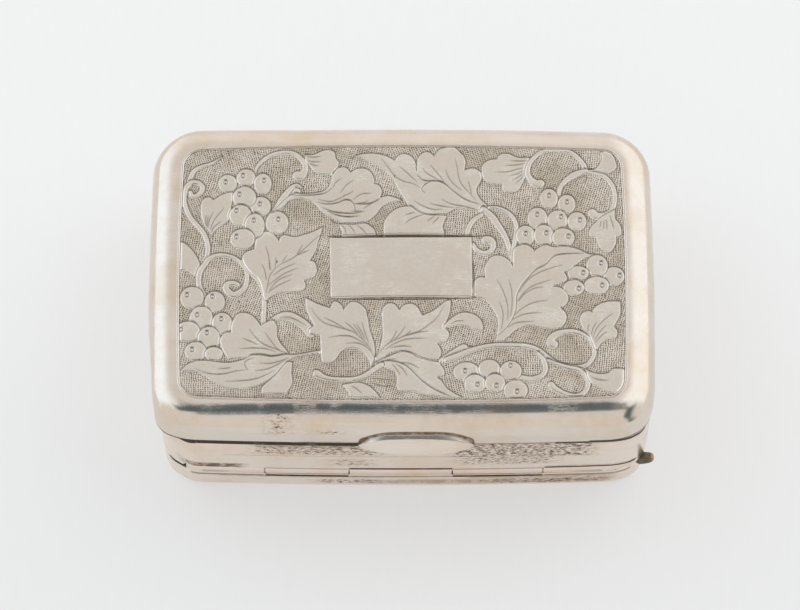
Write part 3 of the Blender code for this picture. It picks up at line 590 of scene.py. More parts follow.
# Gilding over silver, rubbed through in cloudy patches
def giltMaterial(name, gold, roughness):
    material, tree, shader = newMaterial(name, gold)
    place = millimetres(tree)
    worn = ramp(tree, noise(tree, place, 0.35, 4.0, 0.6), 0.55, 0.8, 0.0, gilt["rubbedShare"])
    dark = ramp(tree, noise(tree, place, 3.0, 5.0, 0.7), 0.58, 0.75, 0.0, gilt["stainShare"])
    scratches = useGroup(tree, scratchGroup, Place=place, Density=gilt["scratch"])
    tone = mixColour(tree, dark, mixColour(tree, worn, gold, gilt["rubbedAndHighlight"]), gilt["stain"])
    height = weighted(tree, scratches["Height"], (noise(tree, place, 5.0, 3.0), 0.5))
    dress(tree, shader, height, gilt["bumpStrength"], gilt["bumpDistance"], Base_Color=tone, Metallic=1.0,
          Roughness=weighted(tree, roughness, (dark, 0.3), (scratches["Roughness"], 0.1)))
    return material


plate = {
    "edgeInset": 2.73, "thickness": 0.5, "edgeRound": 0.12, "edgeDrop": 0.07,
    "rasterPitch": 0.04, "rasterX": 20.2, "rasterY": 12.95, "meshPitch": 0.0505,
    "groundDepth": 0.026,       # of the hatched ground below the leaves
    "lineDepth": 0.070,         # of the cut round a leaf, and below it the widths of its parts
    "lineWall": 0.035, "lineRun": 0.15, "lineDark": 0.085, "highlightHalf": 0.07,
    "darkAt": 0.045, "highlightAt": -0.035, "highlightTo": 0.03,          # distances outside the edge of a leaf
    # dirt in the cuts, with painted shade on the side away from the light
    "darkMost": 1.35, "evenDirt": 0.72, "farSideShade": 0.28,
    "deepest": 1.25,            # of a line, as a share of its depth
    "awayX": 0.6, "awayY": 0.8,                     # directions away from the light, for the painted shade and the painted highlight on the edges
    "veinDepth": 0.034, "veinHalf": 0.066, "veinStart": 0.04, "veinSpan": 0.92,
    "veinLeft": 0.3, "veinDirt": 1.15, "veinDark": 0.9, "eyeDirt": 0.75, "holeDirt": 1.4,
    "around": 0.4, "aroundStem": 1.2,           # how far the marks of a path can reach
    "stemPower": 2.5,
    "stemFall": 0.030, "stemLine": 0.062, "grapeFall": 0.012, "grapeGrowth": 1.10,
    "pixel": 0.088, "grapePixel": (0.0885, 0.0975),     # millimetres per pixel
    "eyeRadius": 0.24, "eyeRing": 0.75, "eyeSoft": 0.28, "eyeDepth": 0.060,
    "pitRadius": 0.085, "pitDepth": 0.06,
    "evenShare": 0.978, "edgeRows": (0.985, 0.993, 0.998, 1.0),     # rows, as shares of half the depth
    "hatchPitch": 0.206, "turnShare": 0.5, "bumpStrength": 1.0, "bumpDistance": 0.00003,
    "cloudTint": (0.96, 0.92, 0.86), "groundTint": (1.06, 1.04, 1.0), "speck": (0.16, 0.12, 0.09, 1.0),
    # the cut colour is dirt and painted shade
    "groundStain": (0.52, 0.44, 0.34), "pitDirt": (0.115, 0.075, 0.046), "cutDirtAndShade": (0.11, 0.08, 0.055),
    # the bright colour below is a painted highlight
    "paintedHighlightColour": (0.99, 0.95, 0.90),
}


# The engraved plate: smooth satin leaves, hatched ground, tarnish with painted shade in the cuts, painted
# highlights on the lit edges
def engravedMaterial(name, colour, roughness):
    material, tree, shader = newMaterial(name, colour)
    place = millimetres(tree)
    ground, turn, cut = (add(tree, "ShaderNodeAttribute", {"attribute_name": label}).outputs["Fac"]
                         for label in ("ground", "turn", "cut"))
    hatch = useGroup(tree, hatchGroup, Place=place, Turn=turn, Pitch=plate["hatchPitch"])
    tarnish = useGroup(tree, tarnishGroup, Place=place, Amount=0.12, Clean=tinted(colour),
                       Cloud=tinted(colour, plate["cloudTint"]), Speck=plate["speck"], Cloudiness=0.5)
    scratches = useGroup(tree, scratchGroup, Place=place, Density=0.5)
    worn = ramp(tree, noise(tree, place, 0.6, 3.0), 0.3, 0.6, 0.75, 1.0)
    patch = ramp(tree, noise(tree, place, 0.24, 3.0, 0.6), 0.36, 0.66, 0.0, 0.62)
    groundTone = mixColour(tree, patch, tinted(colour, plate["groundTint"])[:3], plate["groundStain"])
    tone = mixColour(tree, ground, tarnish["Colour"], groundTone)
    tone = mixColour(tree, product(tree, hatch["Pits"], ground, worn), tone, plate["pitDirt"])
    # Dirt and painted shade in the cuts
    tone = mixColour(tree, product(tree, cut, 0.9, clamp=True), tone, plate["cutDirtAndShade"])
    # Painted highlight on the edges that face the light
    tone = mixColour(tree, product(tree, cut, -1.1, clamp=True), tone, plate["paintedHighlightColour"])
    height = weighted(tree, product(tree, hatch["Height"], ground), (noise(tree, place, 1.1, 4.0, 0.6), 0.35),
                      (scratches["Height"], 0.15))
    dress(tree, shader, height, plate["bumpStrength"], plate["bumpDistance"], Base_Color=tone, Metallic=1.0,
          Roughness=weighted(tree, roughness, (ground, 0.10), (scratches["Roughness"], 0.08)))
    return material


fibre = {
    "shown": (0.45, 0.30, 0.14), "pore": (0.14, 0.075, 0.03), "thread": (0.55, 0.38, 0.18),
    "patch": (0.40, 0.25, 0.11), "cells": 2.3, "roughness": 0.95, "sheen": 0.2,
    "bumpStrength": 0.9, "bumpDistance": 0.0003,
}


# Dry natural sponge: brown, porous, rough
def spongeMaterial():
    material, tree, shader = newMaterial("sponge_fibre", fibre["shown"])
    place = millimetres(tree)
    cells = add(tree, "ShaderNodeTexVoronoi", Vector=place, Scale=fibre["cells"]).outputs["Distance"]
    pore = ramp(tree, cells, 0.12, 0.42)
    patches = ramp(tree, noise(tree, place, 6.0, 3.0), 0.3, 0.7)
    tone = mixColour(tree, patches, mixColour(tree, pore, fibre["pore"], fibre["thread"]), fibre["patch"])
    height = weighted(tree, pore, (noise(tree, place, 7.0, 4.0), 0.5))
    dress(tree, shader, height, fibre["bumpStrength"], fibre["bumpDistance"], Base_Color=tone,
          Roughness=fibre["roughness"], Sheen_Weight=fibre["sheen"])
    return material


lug = {
    "left": 20.98, "right": 22.60, "middleY": -13.18, "halfY": 0.55, "middleZ": 3.40, "halfZ": 0.60,
    "power": 3.2, "narrowing": 0.25, "thinning": 0.3, "lift": 0.20,         # towards its outer end
    "giltX": (22.36, 22.66), "gilt": (0.47, 0.27, 0.11),
    "black": (0.075, 0.07, 0.05), "brown": (0.16, 0.14, 0.09), "shown": (0.10, 0.09, 0.06),
    "roughness": 0.38, "metallic": 0.8, "bumpStrength": 0.6, "bumpDistance": 0.00006,
}


# Blackened metal, its outer end still gilt
def lugMaterial():
    material, tree, shader = newMaterial("lug_metal", lug["shown"])
    place = millimetres(tree)
    ragged = weighted(tree, axes(tree, place)[0], (noise(tree, place, 3.0, 3.0), 0.3))
    grime = ramp(tree, noise(tree, place, 2.5, 3.0), 0.4, 0.6)
    tone = mixColour(tree, grime, lug["black"], lug["brown"])
    tone = mixColour(tree, ramp(tree, ragged, *lug["giltX"]), tone, lug["gilt"])
    dress(tree, shader, noise(tree, place, 4.0, 4.0), lug["bumpStrength"], lug["bumpDistance"],
          Base_Color=tone, Roughness=lug["roughness"], Metallic=lug["metallic"])
    return material


# The face is a section of the thumbpiece, from the top of its root forward and down: each point is
# out, up at the middle and out, up at the tips, as shares of reach and rise
thumb = {
    "middle": 1.25, "width": 10.3, "reach": 1.1, "rise": 2.1, "low": 11.06,
    "creaseLow": -0.27, "creaseHeight": 0.02,       # of the dirt and painted shade round its root
    "face": ((0.0, 1.0, 0.0, 1.0), (0.04, 0.95, 0.04, 0.95), (0.08, 0.885, 0.09, 0.885),
             (0.10, 0.865, 0.12, 0.865), (0.12, 0.858, 0.15, 0.858), (0.25, 0.835, 0.50, 0.82),
             (0.38, 0.81, 0.78, 0.765),
             (0.46, 0.755, 0.88, 0.66), (0.60, 0.63, 0.95, 0.50), (0.77, 0.44, 0.98, 0.32),
             (0.93, 0.19, 0.98, 0.15), (0.985, 0.05, 0.99, 0.05), (0.95, 0.0, 0.96, 0.0)),
    "root": (0.0, 0.30, 0.55, 0.78, 1.0),
}

lidSilver = silverMaterial("lid_silver", (0.765, 0.69, 0.615), 0.12, lidDirtAndShade, 0.6, ripple=1.2, crease=True)
# The case and the lower lid are lighter copies of the lid's silver: painted light on the upright walls
caseSilver = silverMaterial("case_silver", (0.86, 0.765, 0.68), 0.16, caseDirtAndShade, 0.6, 0.6)
baseSilver = silverMaterial("base_silver", (0.85, 0.75, 0.665), 0.16, baseDirtAndShade, 0.7, 0.6)
hingeSilver = silverMaterial("hinge_silver", (0.82, 0.71, 0.63), 0.22, cloudiness=0.6, scratch=0.8)
dullSilver = silverMaterial("pin_silver", (0.55, 0.50, 0.43), 0.35, scratch=0.8)
thumbSilver = silverMaterial("thumb_silver", (0.82, 0.745, 0.665), 0.19, ripple=1.1, crease=True)
plateSilver = engravedMaterial("engraved_silver", (0.735, 0.672, 0.595), 0.24)
giltInside = giltMaterial("gilt_inside", (0.86, 0.60, 0.26), 0.24)
giltGrille = giltMaterial("gilt_grille", (0.90, 0.64, 0.27), 0.20)
lugMetal = lugMaterial()
spongeFibre = spongeMaterial()
print("materials made")


# Lid, wall and lower lid

lidFrame = {
    "borderWidth": 2.70, "borderDrop": 2.4, "ledgeWidth": 0.6, "ledgeThickness": 0.4, "solder": 0.04,
    "edge": 0.07, "innerEdge": 0.10, "ledgeEdge": 0.05,
    "ends": ((-1, 3.0, 9.0), (1, 2.35, 18.0)),      # side, power of its curve, where it begins along x
    "margin": 0.02, "pressedHeight": 1.2, "drawn": 0.38, "leftOut": 0.12, "leftPush": 0.62, "rightPush": 0.30,
    "pressedRows": 2, "giltRows": 6,        # after the outer rows: how many are pressed out, then not gilt
}
caseWall = {
    "ridge": ((7.55, 0.0), (7.75, 0.012), (7.90, 0.035), (8.05, 0.012), (8.25, 0.0)),       # z, how proud
    "drawn": 0.50, "leftPush": 0.27, "rightPush": 0.46, "pushTop": 7.0, "pushFade": 3.0,
    "outerSkin": 0.2, "innerSkin": 0.4,     # the insets that end the outside and begin the gilt inside
}
baseTray = {
    "edge": 1.2, "floor": 0.5, "flatInsets": (9.0, 5.0), "flatMargin": 0.6,
    "outerFoot": 2.2, "innerFoot": 2.0, "belowRim": 3.0,                                    # z on the walls
    "drawn": 0.50, "leftPush": 0.30, "rightPush": 0.34, "rimRows": 8,       # rows of the rim that stay
}
corner = {"drawnFrom": 3.0, "drawnOver": 8.0, "endOver": 2.5, "diagonal": 0.707}


# Upright rim, then a quarter ellipse inset = w (1 - cos a), z = rim + drop sin a, and its underside
def makeLidFrame():
    width, drop, wall = lidFrame["borderWidth"], lidFrame["borderDrop"], box["wall"]
    low, rim = box["lidSeam"] + box["halfSeam"], box["top"] - drop
    pocket = box["top"] - plate["thickness"] - lidFrame["solder"]
    ledge, inner = pocket - lidFrame["ledgeThickness"], width + lidFrame["ledgeWidth"]
    corners = [(wall, low, lidFrame["edge"]), (0.0, low, lidFrame["edge"])]
    for a in np.linspace(0, math.pi / 2, 34)[:-1]:
        corners.append((width * (1 - math.cos(a)), rim + drop * math.sin(a), 0))
    corners.append((width, box["top"], lidFrame["innerEdge"]))
    outerCount = len(rounded(corners[:-1] + [(width, pocket, 0)]))
    corners += [(width, pocket, 0)] + [(inner, height, lidFrame["ledgeEdge"]) for height in (pocket, ledge)]
    last = math.asin(min(1.0, (ledge - rim) / (drop - wall)))
    for a in np.linspace(last, 0, 12):
        corners.append((width - (width - wall) * math.cos(a), rim + (drop - wall) * math.sin(a), 0))
    path = rounded(corners)
    rows = fuller(carried(path), path, rim, outerCount)
    rows = notched(rows, box["rearAxis"], box["rearSpan"], 1, 1, True)
    inside = np.arange(outerCount + lidFrame["giltRows"], len(path))
    return ringShell("lid_shell", rows, "lid", "lid_frame", [lidSilver, giltInside], inside)


# At the ends the border is fuller, z = rim + drop (1 - t^n)^(1/n), t = 1 - inset / width, n = 2 at the sides.
# The lower rim is pressed out a little at the front corners.
def fuller(rows, path, rim, outerCount):
    made, x, width = rows.copy(), rows[0, :, 0], lidFrame["borderWidth"]
    for side, power, start in lidFrame["ends"]:
        n = 2 + (power - 2) * np.clip((side * x - start) / (box["width"] / 2 - start), 0, 1)
        for index, (inset, z) in enumerate(path[:outerCount]):
            if z < rim + lidFrame["margin"] or inset > width - lidFrame["margin"]:
                continue
            t = np.clip(1 - inset / width, 0, 1)
            full = rim + lidFrame["borderDrop"] * (1 - t ** n) ** (1 / n)
            made[index, :, 2] = np.where(side * x > start, full, made[index, :, 2])
    low = np.clip(1 - (path[:, 1] - rim) / lidFrame["pressedHeight"], 0, 1)
    low = (low * (np.arange(len(path)) < outerCount + lidFrame["pressedRows"]))[:, None]
    made = drawnIn(made, low * lidFrame["drawn"])
    made[..., 0] -= lidFrame["leftOut"] * low * np.clip((-rows[..., 0] - straightX) / corner["endOver"], 0, 1)
    return cornered(made, low * lidFrame["leftPush"], low * lidFrame["rightPush"])


# The left end is narrower in front: x += amount s(-y from 3 to 11) s(-x from 18 to 20.5), s a smooth step
def drawnIn(rows, amount):
    forward = np.clip((-rows[..., 1] - corner["drawnFrom"]) / corner["drawnOver"], 0, 1)
    outer = np.clip((-rows[..., 0] - straightX) / corner["endOver"], 0, 1)
    made = rows.copy()
    made[..., 0] += amount * smoothStep(forward) * smoothStep(outer)
    return made


# The front corners move along their diagonals: push sin^2(2 a), a the angle round the corner's middle
def cornered(rows, leftPush, rightPush):
    made = rows.copy()
    for side, push in ((-1, leftPush), (1, rightPush)):
        dx, dy = side * rows[..., 0] - straightX, -rows[..., 1] - straightY
        angle = np.arctan2(np.clip(dy, 0, None), np.clip(dx, 1e-9, None))
        share = np.where((dx > 0) & (dy > 0), np.sin(2 * angle) ** 2, 0.0) * push * corner["diagonal"]
        made[..., 0] += side * share
        made[..., 1] -= share
    return made


# A plain upright band with softened rims and one faint ridge outside
def makeCaseWall():
    low, high = box["baseSeam"] + box["halfSeam"], box["lidSeam"] - box["halfSeam"]
    outer, inner, soft = box["caseInset"], box["caseInset"] + box["wall"], box["rimRound"]
    corners = [(inner, low, soft), (outer, low, soft)]
    corners += [(outer - proud, height, 0) for height, proud in caseWall["ridge"]]
    path = rounded(corners + [(outer, high, soft), (inner, high, soft)])
    outside = (path[:, 0] < outer + caseWall["outerSkin"]).astype(float)[:, None]
    foot = outside * np.clip((caseWall["pushTop"] - path[:, 1:]) / caseWall["pushFade"], 0, 1)
    rows = drawnIn(carried(path), caseWall["drawn"] * outside)
    rows = cornered(rows, caseWall["leftPush"] * foot, caseWall["rightPush"] * outside)
    rows = notched(rows, box["rearAxis"], box["rearSpan"], 1, -1, False)
    rows = notched(rows, box["frontAxis"], box["frontSpan"], -1, 1, False)
    inside = np.flatnonzero(path[:, 0] > outer + caseWall["innerSkin"])
    return ringShell("case_shell", rows, "case", "case_wall", [caseSilver, giltInside], inside)


# Bottom, rounded edge, wall, rim, inner wall, rounded edge, floor: closed by a point in the middle of each
def makeBaseTray():
    edge, floor, wall, soft = baseTray["edge"], baseTray["floor"], box["wall"], box["rimRound"]
    outer, inner, rim = box["baseInset"], box["baseInset"] + wall, box["baseSeam"] - box["halfSeam"]
    (middle, side), margin, below = baseTray["flatInsets"], baseTray["flatMargin"], baseTray["belowRim"]
    path = [(middle, 0.0), (side, 0.0), (outer + edge + margin, 0.0)]
    for a in np.linspace(0, math.pi / 2, 12):
        path.append((outer + edge * (1 - math.sin(a)), edge * (1 - math.cos(a))))
    path += [(outer, baseTray["outerFoot"]), (outer, below)]
    rimPath = rounded([(outer, below, 0), (outer, rim, soft), (inner, rim, soft), (inner, below, 0)])
    path += list(rimPath[1:-1])
    turn = len(path)
    path += [(inner, below), (inner, baseTray["innerFoot"])]
    for a in np.linspace(math.pi / 2, 0, 8):
        path.append((inner + (edge - wall) * (1 - math.sin(a)), floor + (edge - wall) * (1 - math.cos(a))))
    path += [(inner + edge + margin, floor), (side, floor), (middle, floor)]
    outside = (np.arange(len(path)) < turn - baseTray["rimRows"]).astype(float)[:, None]
    rows = drawnIn(carried(path), baseTray["drawn"] * outside)
    rows = cornered(rows, baseTray["leftPush"] * outside, baseTray["rightPush"] * outside)
    rows = notched(rows, box["frontAxis"], box["frontSpan"], -1, -1, True)
    points, faces = capped(rows, (0, 0, 0), (0, 0, floor), turnedOver=True)
    count, columns = rows.shape[:2]
    marks = [np.repeat(np.arange(count - 1) >= turn, columns), np.zeros(columns), np.ones(columns)]
    return buildMesh("base_shell", points, faces, "base_lid", "silver", [baseSilver, giltInside],
                     ["base_tray"], marks)


# Hinge barrels

barrel = {"endRound": 0.07, "boreRound": 0.03, "leastShare": 0.12, "rearFlush": 0.9, "frontFlush": 0.16,
          "pinRadius": 0.24, "pinEnds": (-18.0, 18.0)}


# Each knuckle is a profile of (x, r) turned about the hinge axis, then filed flush with the wall:
# the outer half is pressed back, y = axis + (y - axis) (wall + flush - axis) / radius where that is nearer.
# The first, third and fifth ride on the lid, the others on the case.
def makeBarrels(names, lidBody, span, axis, side, flush):
    outer, bore, half = box["barrelRadius"], box["boreRadius"], box["knuckleGap"] / 2
    edges, inner = joints(span), -side * outer
    around = np.linspace(0, 2 * math.pi, 48, endpoint=False)
    for index, name in enumerate(names):
        low, high = edges[index] + half, edges[index + 1] - half
        corners = [(x, outer, 0) for x in np.linspace(low, high, 26)]
        corners[0], corners[-1] = (low, outer, barrel["endRound"]), (high, outer, barrel["endRound"])
        path = rounded(corners + [(high, bore, barrel["boreRound"]), (low, bore, barrel["boreRound"])])
        x = np.repeat(path[:, :1], len(around), axis=1)
        off, z = path[:, 1:] * np.cos(around), axis[1] + path[:, 1:] * np.sin(around)
        reach = np.minimum(outer, planY(x, box["baseInset"]) + flush - abs(axis[0]))
        share = np.clip((side * reach - inner) / (side * outer - inner), barrel["leastShare"], 1)
        off = inner + (off - inner) * share
        points = np.stack([x, axis[0] + off, z], axis=-1).reshape(-1, 3)
        buildMesh(name + "_turned", points, [gridFaces(len(path), len(around), True, True)],
                  "case" if index % 2 else lidBody, "silver", [hingeSilver], [name])


# A drawn wire with rounded ends: r (1 - cos a) in from each end the radius is r sin a
def makePin(name, body, ends, axis):
    around = np.linspace(0, 2 * math.pi, 24, endpoint=False)
    a = np.linspace(0.15, math.pi / 2, 5)
    inward = barrel["pinRadius"] * (1 - np.cos(a))
    x = np.concatenate([ends[0] + inward, ends[1] - inward[::-1]])[:, None]
    r = barrel["pinRadius"] * np.sin(np.concatenate([a, a[::-1]]))[:, None]
    rows = np.broadcast_arrays(x, axis[0] + r * np.cos(around), axis[1] + r * np.sin(around))
    points, faces = capped(np.stack(rows, axis=-1), (ends[0], *axis), (ends[1], *axis))
    outward(buildMesh(name + "_wire", points, faces, body, "dull_silver", [dullSilver], [name]))


# Lips and lug

baseLip = {
    "middle": 0.0, "width": 7.88, "reach": 0.7, "rise": 0.7, "low": box["baseSeam"] - 0.9,
    "face": ((0.0, 1.0, 0.0, 1.0), (0.55, 1.0, 0.55, 1.0), (0.9, 0.75, 0.9, 0.75), (1.0, 0.4, 1.0, 0.4),
             (0.85, 0.08, 0.85, 0.08), (0.6, 0.0, 0.6, 0.0)),
    "root": (0.0, 0.5, 1.0),
}
lipGap = 0.03           # from a lip to its wall
nearTip = 0.9995        # where the last section stands, as a share of the half width


# Sections along x: reach sqrt(1 - a^2), rise sqrt(1 - a^4). Each share is middle + (tip - middle) a^2.
def crescent(name, body, node, lip, wallY, facing, material):
    along = -np.cos(np.linspace(0, math.pi, 90)[1:-1]) * nearTip
    shares = np.array(lip["face"], float)
    mixed = shares[:, None, :2] + (shares[:, None, 2:] - shares[:, None, :2]) * along[None, :, None] ** 2
    face = smoothPath(mixed.reshape(len(shares), -1)).reshape(-1, len(along), 2)
    x, low = lip["middle"] + along * lip["width"] / 2, lip["low"]
    out, up = lip["reach"] * np.sqrt(1 - along ** 2), lip["rise"] * np.sqrt(1 - along ** 4)
    wall = wallY(x, low + up) + lipGap
    foot = wallY(x, np.full_like(x, low)) + lipGap + out
    rows = [(x, facing * (wallY(x, low + share * up) + lipGap), low + share * up) for share in lip["root"]]
    for outShare, upShare in zip(face[1:, :, 0], face[1:, :, 1]):
        rows.append((x, facing * (wall + outShare * (foot - wall)), low + upShare * up))
    rows = np.array(rows).transpose(2, 0, 1)            # along x, then round the section
    tips = rows[[0, -1]].mean(1)
    tips[:, 0] = lip["middle"] + np.array([-1, 1]) * lip["width"] / 2
    outward(buildMesh(name, *capped(rows, *tips), body, "silver", [material], [node]))


# A small bent tab: a rounded block |u|^p + |v|^p + |w|^p = 1, thinner and lifted towards its outer end
def makeLug():
    longitude = np.linspace(0, 2 * math.pi, 40, endpoint=False)
    latitude = np.linspace(-math.pi / 2, math.pi / 2, 22)[1:-1, None]
    ball = np.broadcast_arrays(np.cos(latitude) * np.cos(longitude), np.cos(latitude) * np.sin(longitude),
                               np.sin(latitude))
    ball, faces = capped(np.stack(ball, axis=-1), (0, 0, -1), (0, 0, 1))
    u, v, w = (ball / (np.abs(ball) ** lug["power"]).sum(1, keepdims=True) ** (1 / lug["power"])).T
    share = (u + 1) / 2
    points = np.stack([lug["left"] + share * (lug["right"] - lug["left"]),
                       lug["middleY"] + v * lug["halfY"] * (1 - lug["narrowing"] * share),
                       lug["middleZ"] + w * lug["halfZ"] * (1 - lug["thinning"] * share)
                       + lug["lift"] * (share - 0.5)], axis=1)
    outward(buildMesh("corner_lug_tab", points, faces, "base_lid", "gilt", [lugMetal], ["corner_lug"]))


# Half depth of the lid at one height: the plan moved in by w (1 - sqrt(1 - rise^2)), as its border is
def lidFrontY(x, z):
    rise = np.clip((z - (box["top"] - lidFrame["borderDrop"])) / lidFrame["borderDrop"], 0, 1)
    return sideY(x, lidFrame["borderWidth"] * (1 - np.sqrt(1 - rise ** 2)))


# Half depth of the lower lid, the same at every height
def baseBackY(x, z):
    return sideY(x, box["baseInset"])


makeLidFrame()
makeCaseWall()
makeBaseTray()
makeBarrels(("lid_knuckle_left", "case_knuckle_rear_left", "lid_knuckle_middle", "case_knuckle_rear_right",
             "lid_knuckle_right"), "lid", box["rearSpan"], box["rearAxis"], 1, barrel["rearFlush"])
makeBarrels(("base_knuckle_left", "case_knuckle_front_left", "base_knuckle_middle",
             "case_knuckle_front_right", "base_knuckle_right"),
            "base_lid", box["frontSpan"], box["frontAxis"], -1, barrel["frontFlush"])
makePin("base_hinge_pin", "case", barrel["pinEnds"], box["frontAxis"])
makeLug()
crescent("thumbpiece_leaf", "lid", "thumbpiece", thumb, lidFrontY, -1, thumbSilver)
crescent("base_lip_leaf", "base_lid", "base_lip", baseLip, baseBackY, 1, baseSilver)
print("shells, barrels and lips made")


# The engraving

# It was drawn over the photograph and seven enlargements of it: left, top and enlargement of each
enlargements = {
    "upperLeft": (172, 140, 6), "rearLeft": (170, 140, 9.8), "frontLeft": (170, 260, 9.8),
    "rearMiddle": (310, 140, 9.224), "frontMiddle": (310, 260, 9.224),
    "rearRight": (460, 140, 9.224), "frontRight": (460, 260, 9.224), "whole": (0, 0, 1),
}
# A stroke is x, y, x, y ... in pixels of one of them: ul is upper left, rl rear left, fm front middle


# A function that turns a stroke's numbers into pixels of the photograph: numbers / zoom + (left, top)
def drawnOn(view):
    left, top, zoom = enlargements[view]

    def pixels(*numbers):
        return np.array(numbers, float).reshape(-1, 2) / zoom + (left, top)
    return pixels


ul, rl, fl, rm, fm, rr, fr, onWhole = (drawnOn(view) for view in enlargements)


# Where the photograph's rays meet the plate: camera + t ray, with z equal to the lid's top
def onPlate(pixels):
    focal = camera["focalLength"] / camera["sensorWidth"] * camera["imageWidth"]
    across = (pixels[:, :1] - camera["imageWidth"] / 2) / focal
    above = (camera["imageHeight"] / 2 - pixels[:, 1:]) / focal
    ray = sightLine + across * np.array([1, 0, 0]) + above * sightUp
    return (cameraPlace + (box["top"] - cameraPlace[2]) / ray[:, 2:] * ray)[:, :2]


# One closed edge: each stroke is smooth, and runs on to the corner where the next one starts
def edgeOf(strokes):
    onward = strokes[1:] + strokes[:1]
    path = [smoothPath(np.vstack([stroke, after[:1]]), 4)[:-1] for stroke, after in zip(strokes, onward)]
    return onPlate(np.vstack(path))


rasterX = np.arange(-plate["rasterX"], plate["rasterX"], plate["rasterPitch"])
rasterY = np.arange(-plate["rasterY"], plate["rasterY"], plate["rasterPitch"])
relief = np.full((len(rasterY), len(rasterX)), -plate["groundDepth"])
# Marks of dirt and painted shade in the cuts, of painted highlights on the edges that face the light, and of
# the hatched ground
cutDirtAndShadeMark, paintedHighlightMark, groundMark = np.zeros_like(relief), np.zeros_like(relief), np.ones_like(relief)


# Rows and columns of the raster round a path
def window(path, margin):
    low, high = path.min(0) - margin, path.max(0) + margin
    return tuple(slice(*np.searchsorted(raster, (low[axis], high[axis])))
                 for raster, axis in ((rasterY, 1), (rasterX, 0)))


# The x of each column of cells and the y of each row of cells in an area
def cellsOf(area):
    return rasterX[None, area[1]], rasterY[area[0], None]


# Distance from each cell to a path, and how far along the path its nearest point is (0 to 1)
def distanceTo(path, area):
    gx, gy = cellsOf(area)
    lengths = np.linalg.norm(np.diff(path, axis=0), axis=1)
    ends = np.concatenate([[0], np.cumsum(lengths)]) / max(lengths.sum(), 1e-9)
    best = np.full((gy.shape[0], gx.shape[1]), 1e9)
    along = np.zeros_like(best)
    for a, b, length, s0, s1 in zip(path[:-1], path[1:], lengths, ends[:-1], ends[1:]):
        if length < 1e-6:
            continue
        t = np.clip(((gx - a[0]) * (b[0] - a[0]) + (gy - a[1]) * (b[1] - a[1])) / length ** 2, 0, 1)
        far = (gx - a[0] - t * (b[0] - a[0])) ** 2 + (gy - a[1] - t * (b[1] - a[1])) ** 2
        near = far < best
        best = np.where(near, far, best)
        along = np.where(near, s0 + t * (s1 - s0), along)
    return np.sqrt(best), along


# Even-odd rule: a cell is inside when a ray to +x crosses the edge an odd number of times
def insideOf(path, area):
    gx, gy = cellsOf(area)
    inside = np.zeros((gy.shape[0], gx.shape[1]), bool)
    for a, b in zip(path, np.roll(path, -1, axis=0)):
        if a[1] == b[1]:
            continue
        crossing = (a[1] > gy) != (b[1] > gy)
        inside ^= crossing & (gx < a[0] + (gy - a[1]) / (b[1] - a[1]) * (b[0] - a[0]))
    return inside


# Painter's way. Inside: surface - depth (1 + s / wall)^2 near the edge, s the signed distance.
# Outside: the ground runs down to the edge, -ground - (depth - ground) (1 - s / run)^2.
# Dirt stays in the cut, with painted shade that makes it darkest on the far right side, and the near left
# edge gets a painted highlight.
def layShape(area, signed, surface, depth=plate["lineDepth"]):
    inside, ground = signed < 0, plate["groundDepth"]
    wall = np.clip(1 + signed / plate["lineWall"], 0, 1) ** 2
    run = np.clip(1 - signed / plate["lineRun"], 0, 1) ** 2
    laid = np.where(inside, surface - depth * wall, relief[area])
    below = np.minimum(laid, -ground) - (depth - ground) * run
    lowered = np.maximum(np.minimum(laid, below), -plate["deepest"] * depth)
    relief[area] = np.where(~inside & (run > 0), lowered, laid)
    groundMark[area] = np.where(inside, 0.0, groundMark[area])
    slopeY, slopeX = np.gradient(signed, plate["rasterPitch"])
    away = np.clip(plate["awayX"] * slopeX + plate["awayY"] * slopeY, -1, 1)
    dirtAndShade = np.clip(plate["darkMost"] * (1 - np.abs(signed - plate["darkAt"]) / plate["lineDark"]), 0, 1)
    # Painted shade: the dirt is darker on the side away from the light
    dirtAndShade = dirtAndShade * (plate["evenDirt"] + plate["farSideShade"] * away)
    # Painted highlight on the near edge, on the side that faces the light
    rubbedAndHighlight = np.clip(1 - np.abs(signed - plate["highlightAt"]) / plate["highlightHalf"], 0, 1)
    rubbedAndHighlight = rubbedAndHighlight * np.clip(-away, 0, 1)
    cutDirtAndShadeMark[area] = np.maximum(np.where(inside, 0.0, cutDirtAndShadeMark[area]), dirtAndShade)
    paintedHighlightMark[area] = np.maximum(np.where(signed < plate["highlightTo"], 0.0, paintedHighlightMark[area]), rubbedAndHighlight)


# A flat leaf inside one closed edge
def leaf(*strokes):
    path = edgeOf(strokes)
    area = window(path, plate["around"])
    far = distanceTo(np.vstack([path, path[:1]]), area)[0]
    layShape(area, np.where(insideOf(path, area), -far, far), 0.0)


# A ribbon along a centre line: half width from widths in pixels, surface -stemFall (d / half)^stemPower
def stem(centre, *widths):
    path = onPlate(smoothPath(centre))
    area = window(path, plate["aroundStem"])
    far, along = distanceTo(path, area)
    half = np.interp(along, np.linspace(0, 1, len(widths)), widths) * plate["pixel"] / 2
    surface = -plate["stemFall"] * np.clip(far / np.maximum(half, 0.01), 0, 1) ** plate["stemPower"]
    layShape(area, far - half, surface, plate["stemLine"])


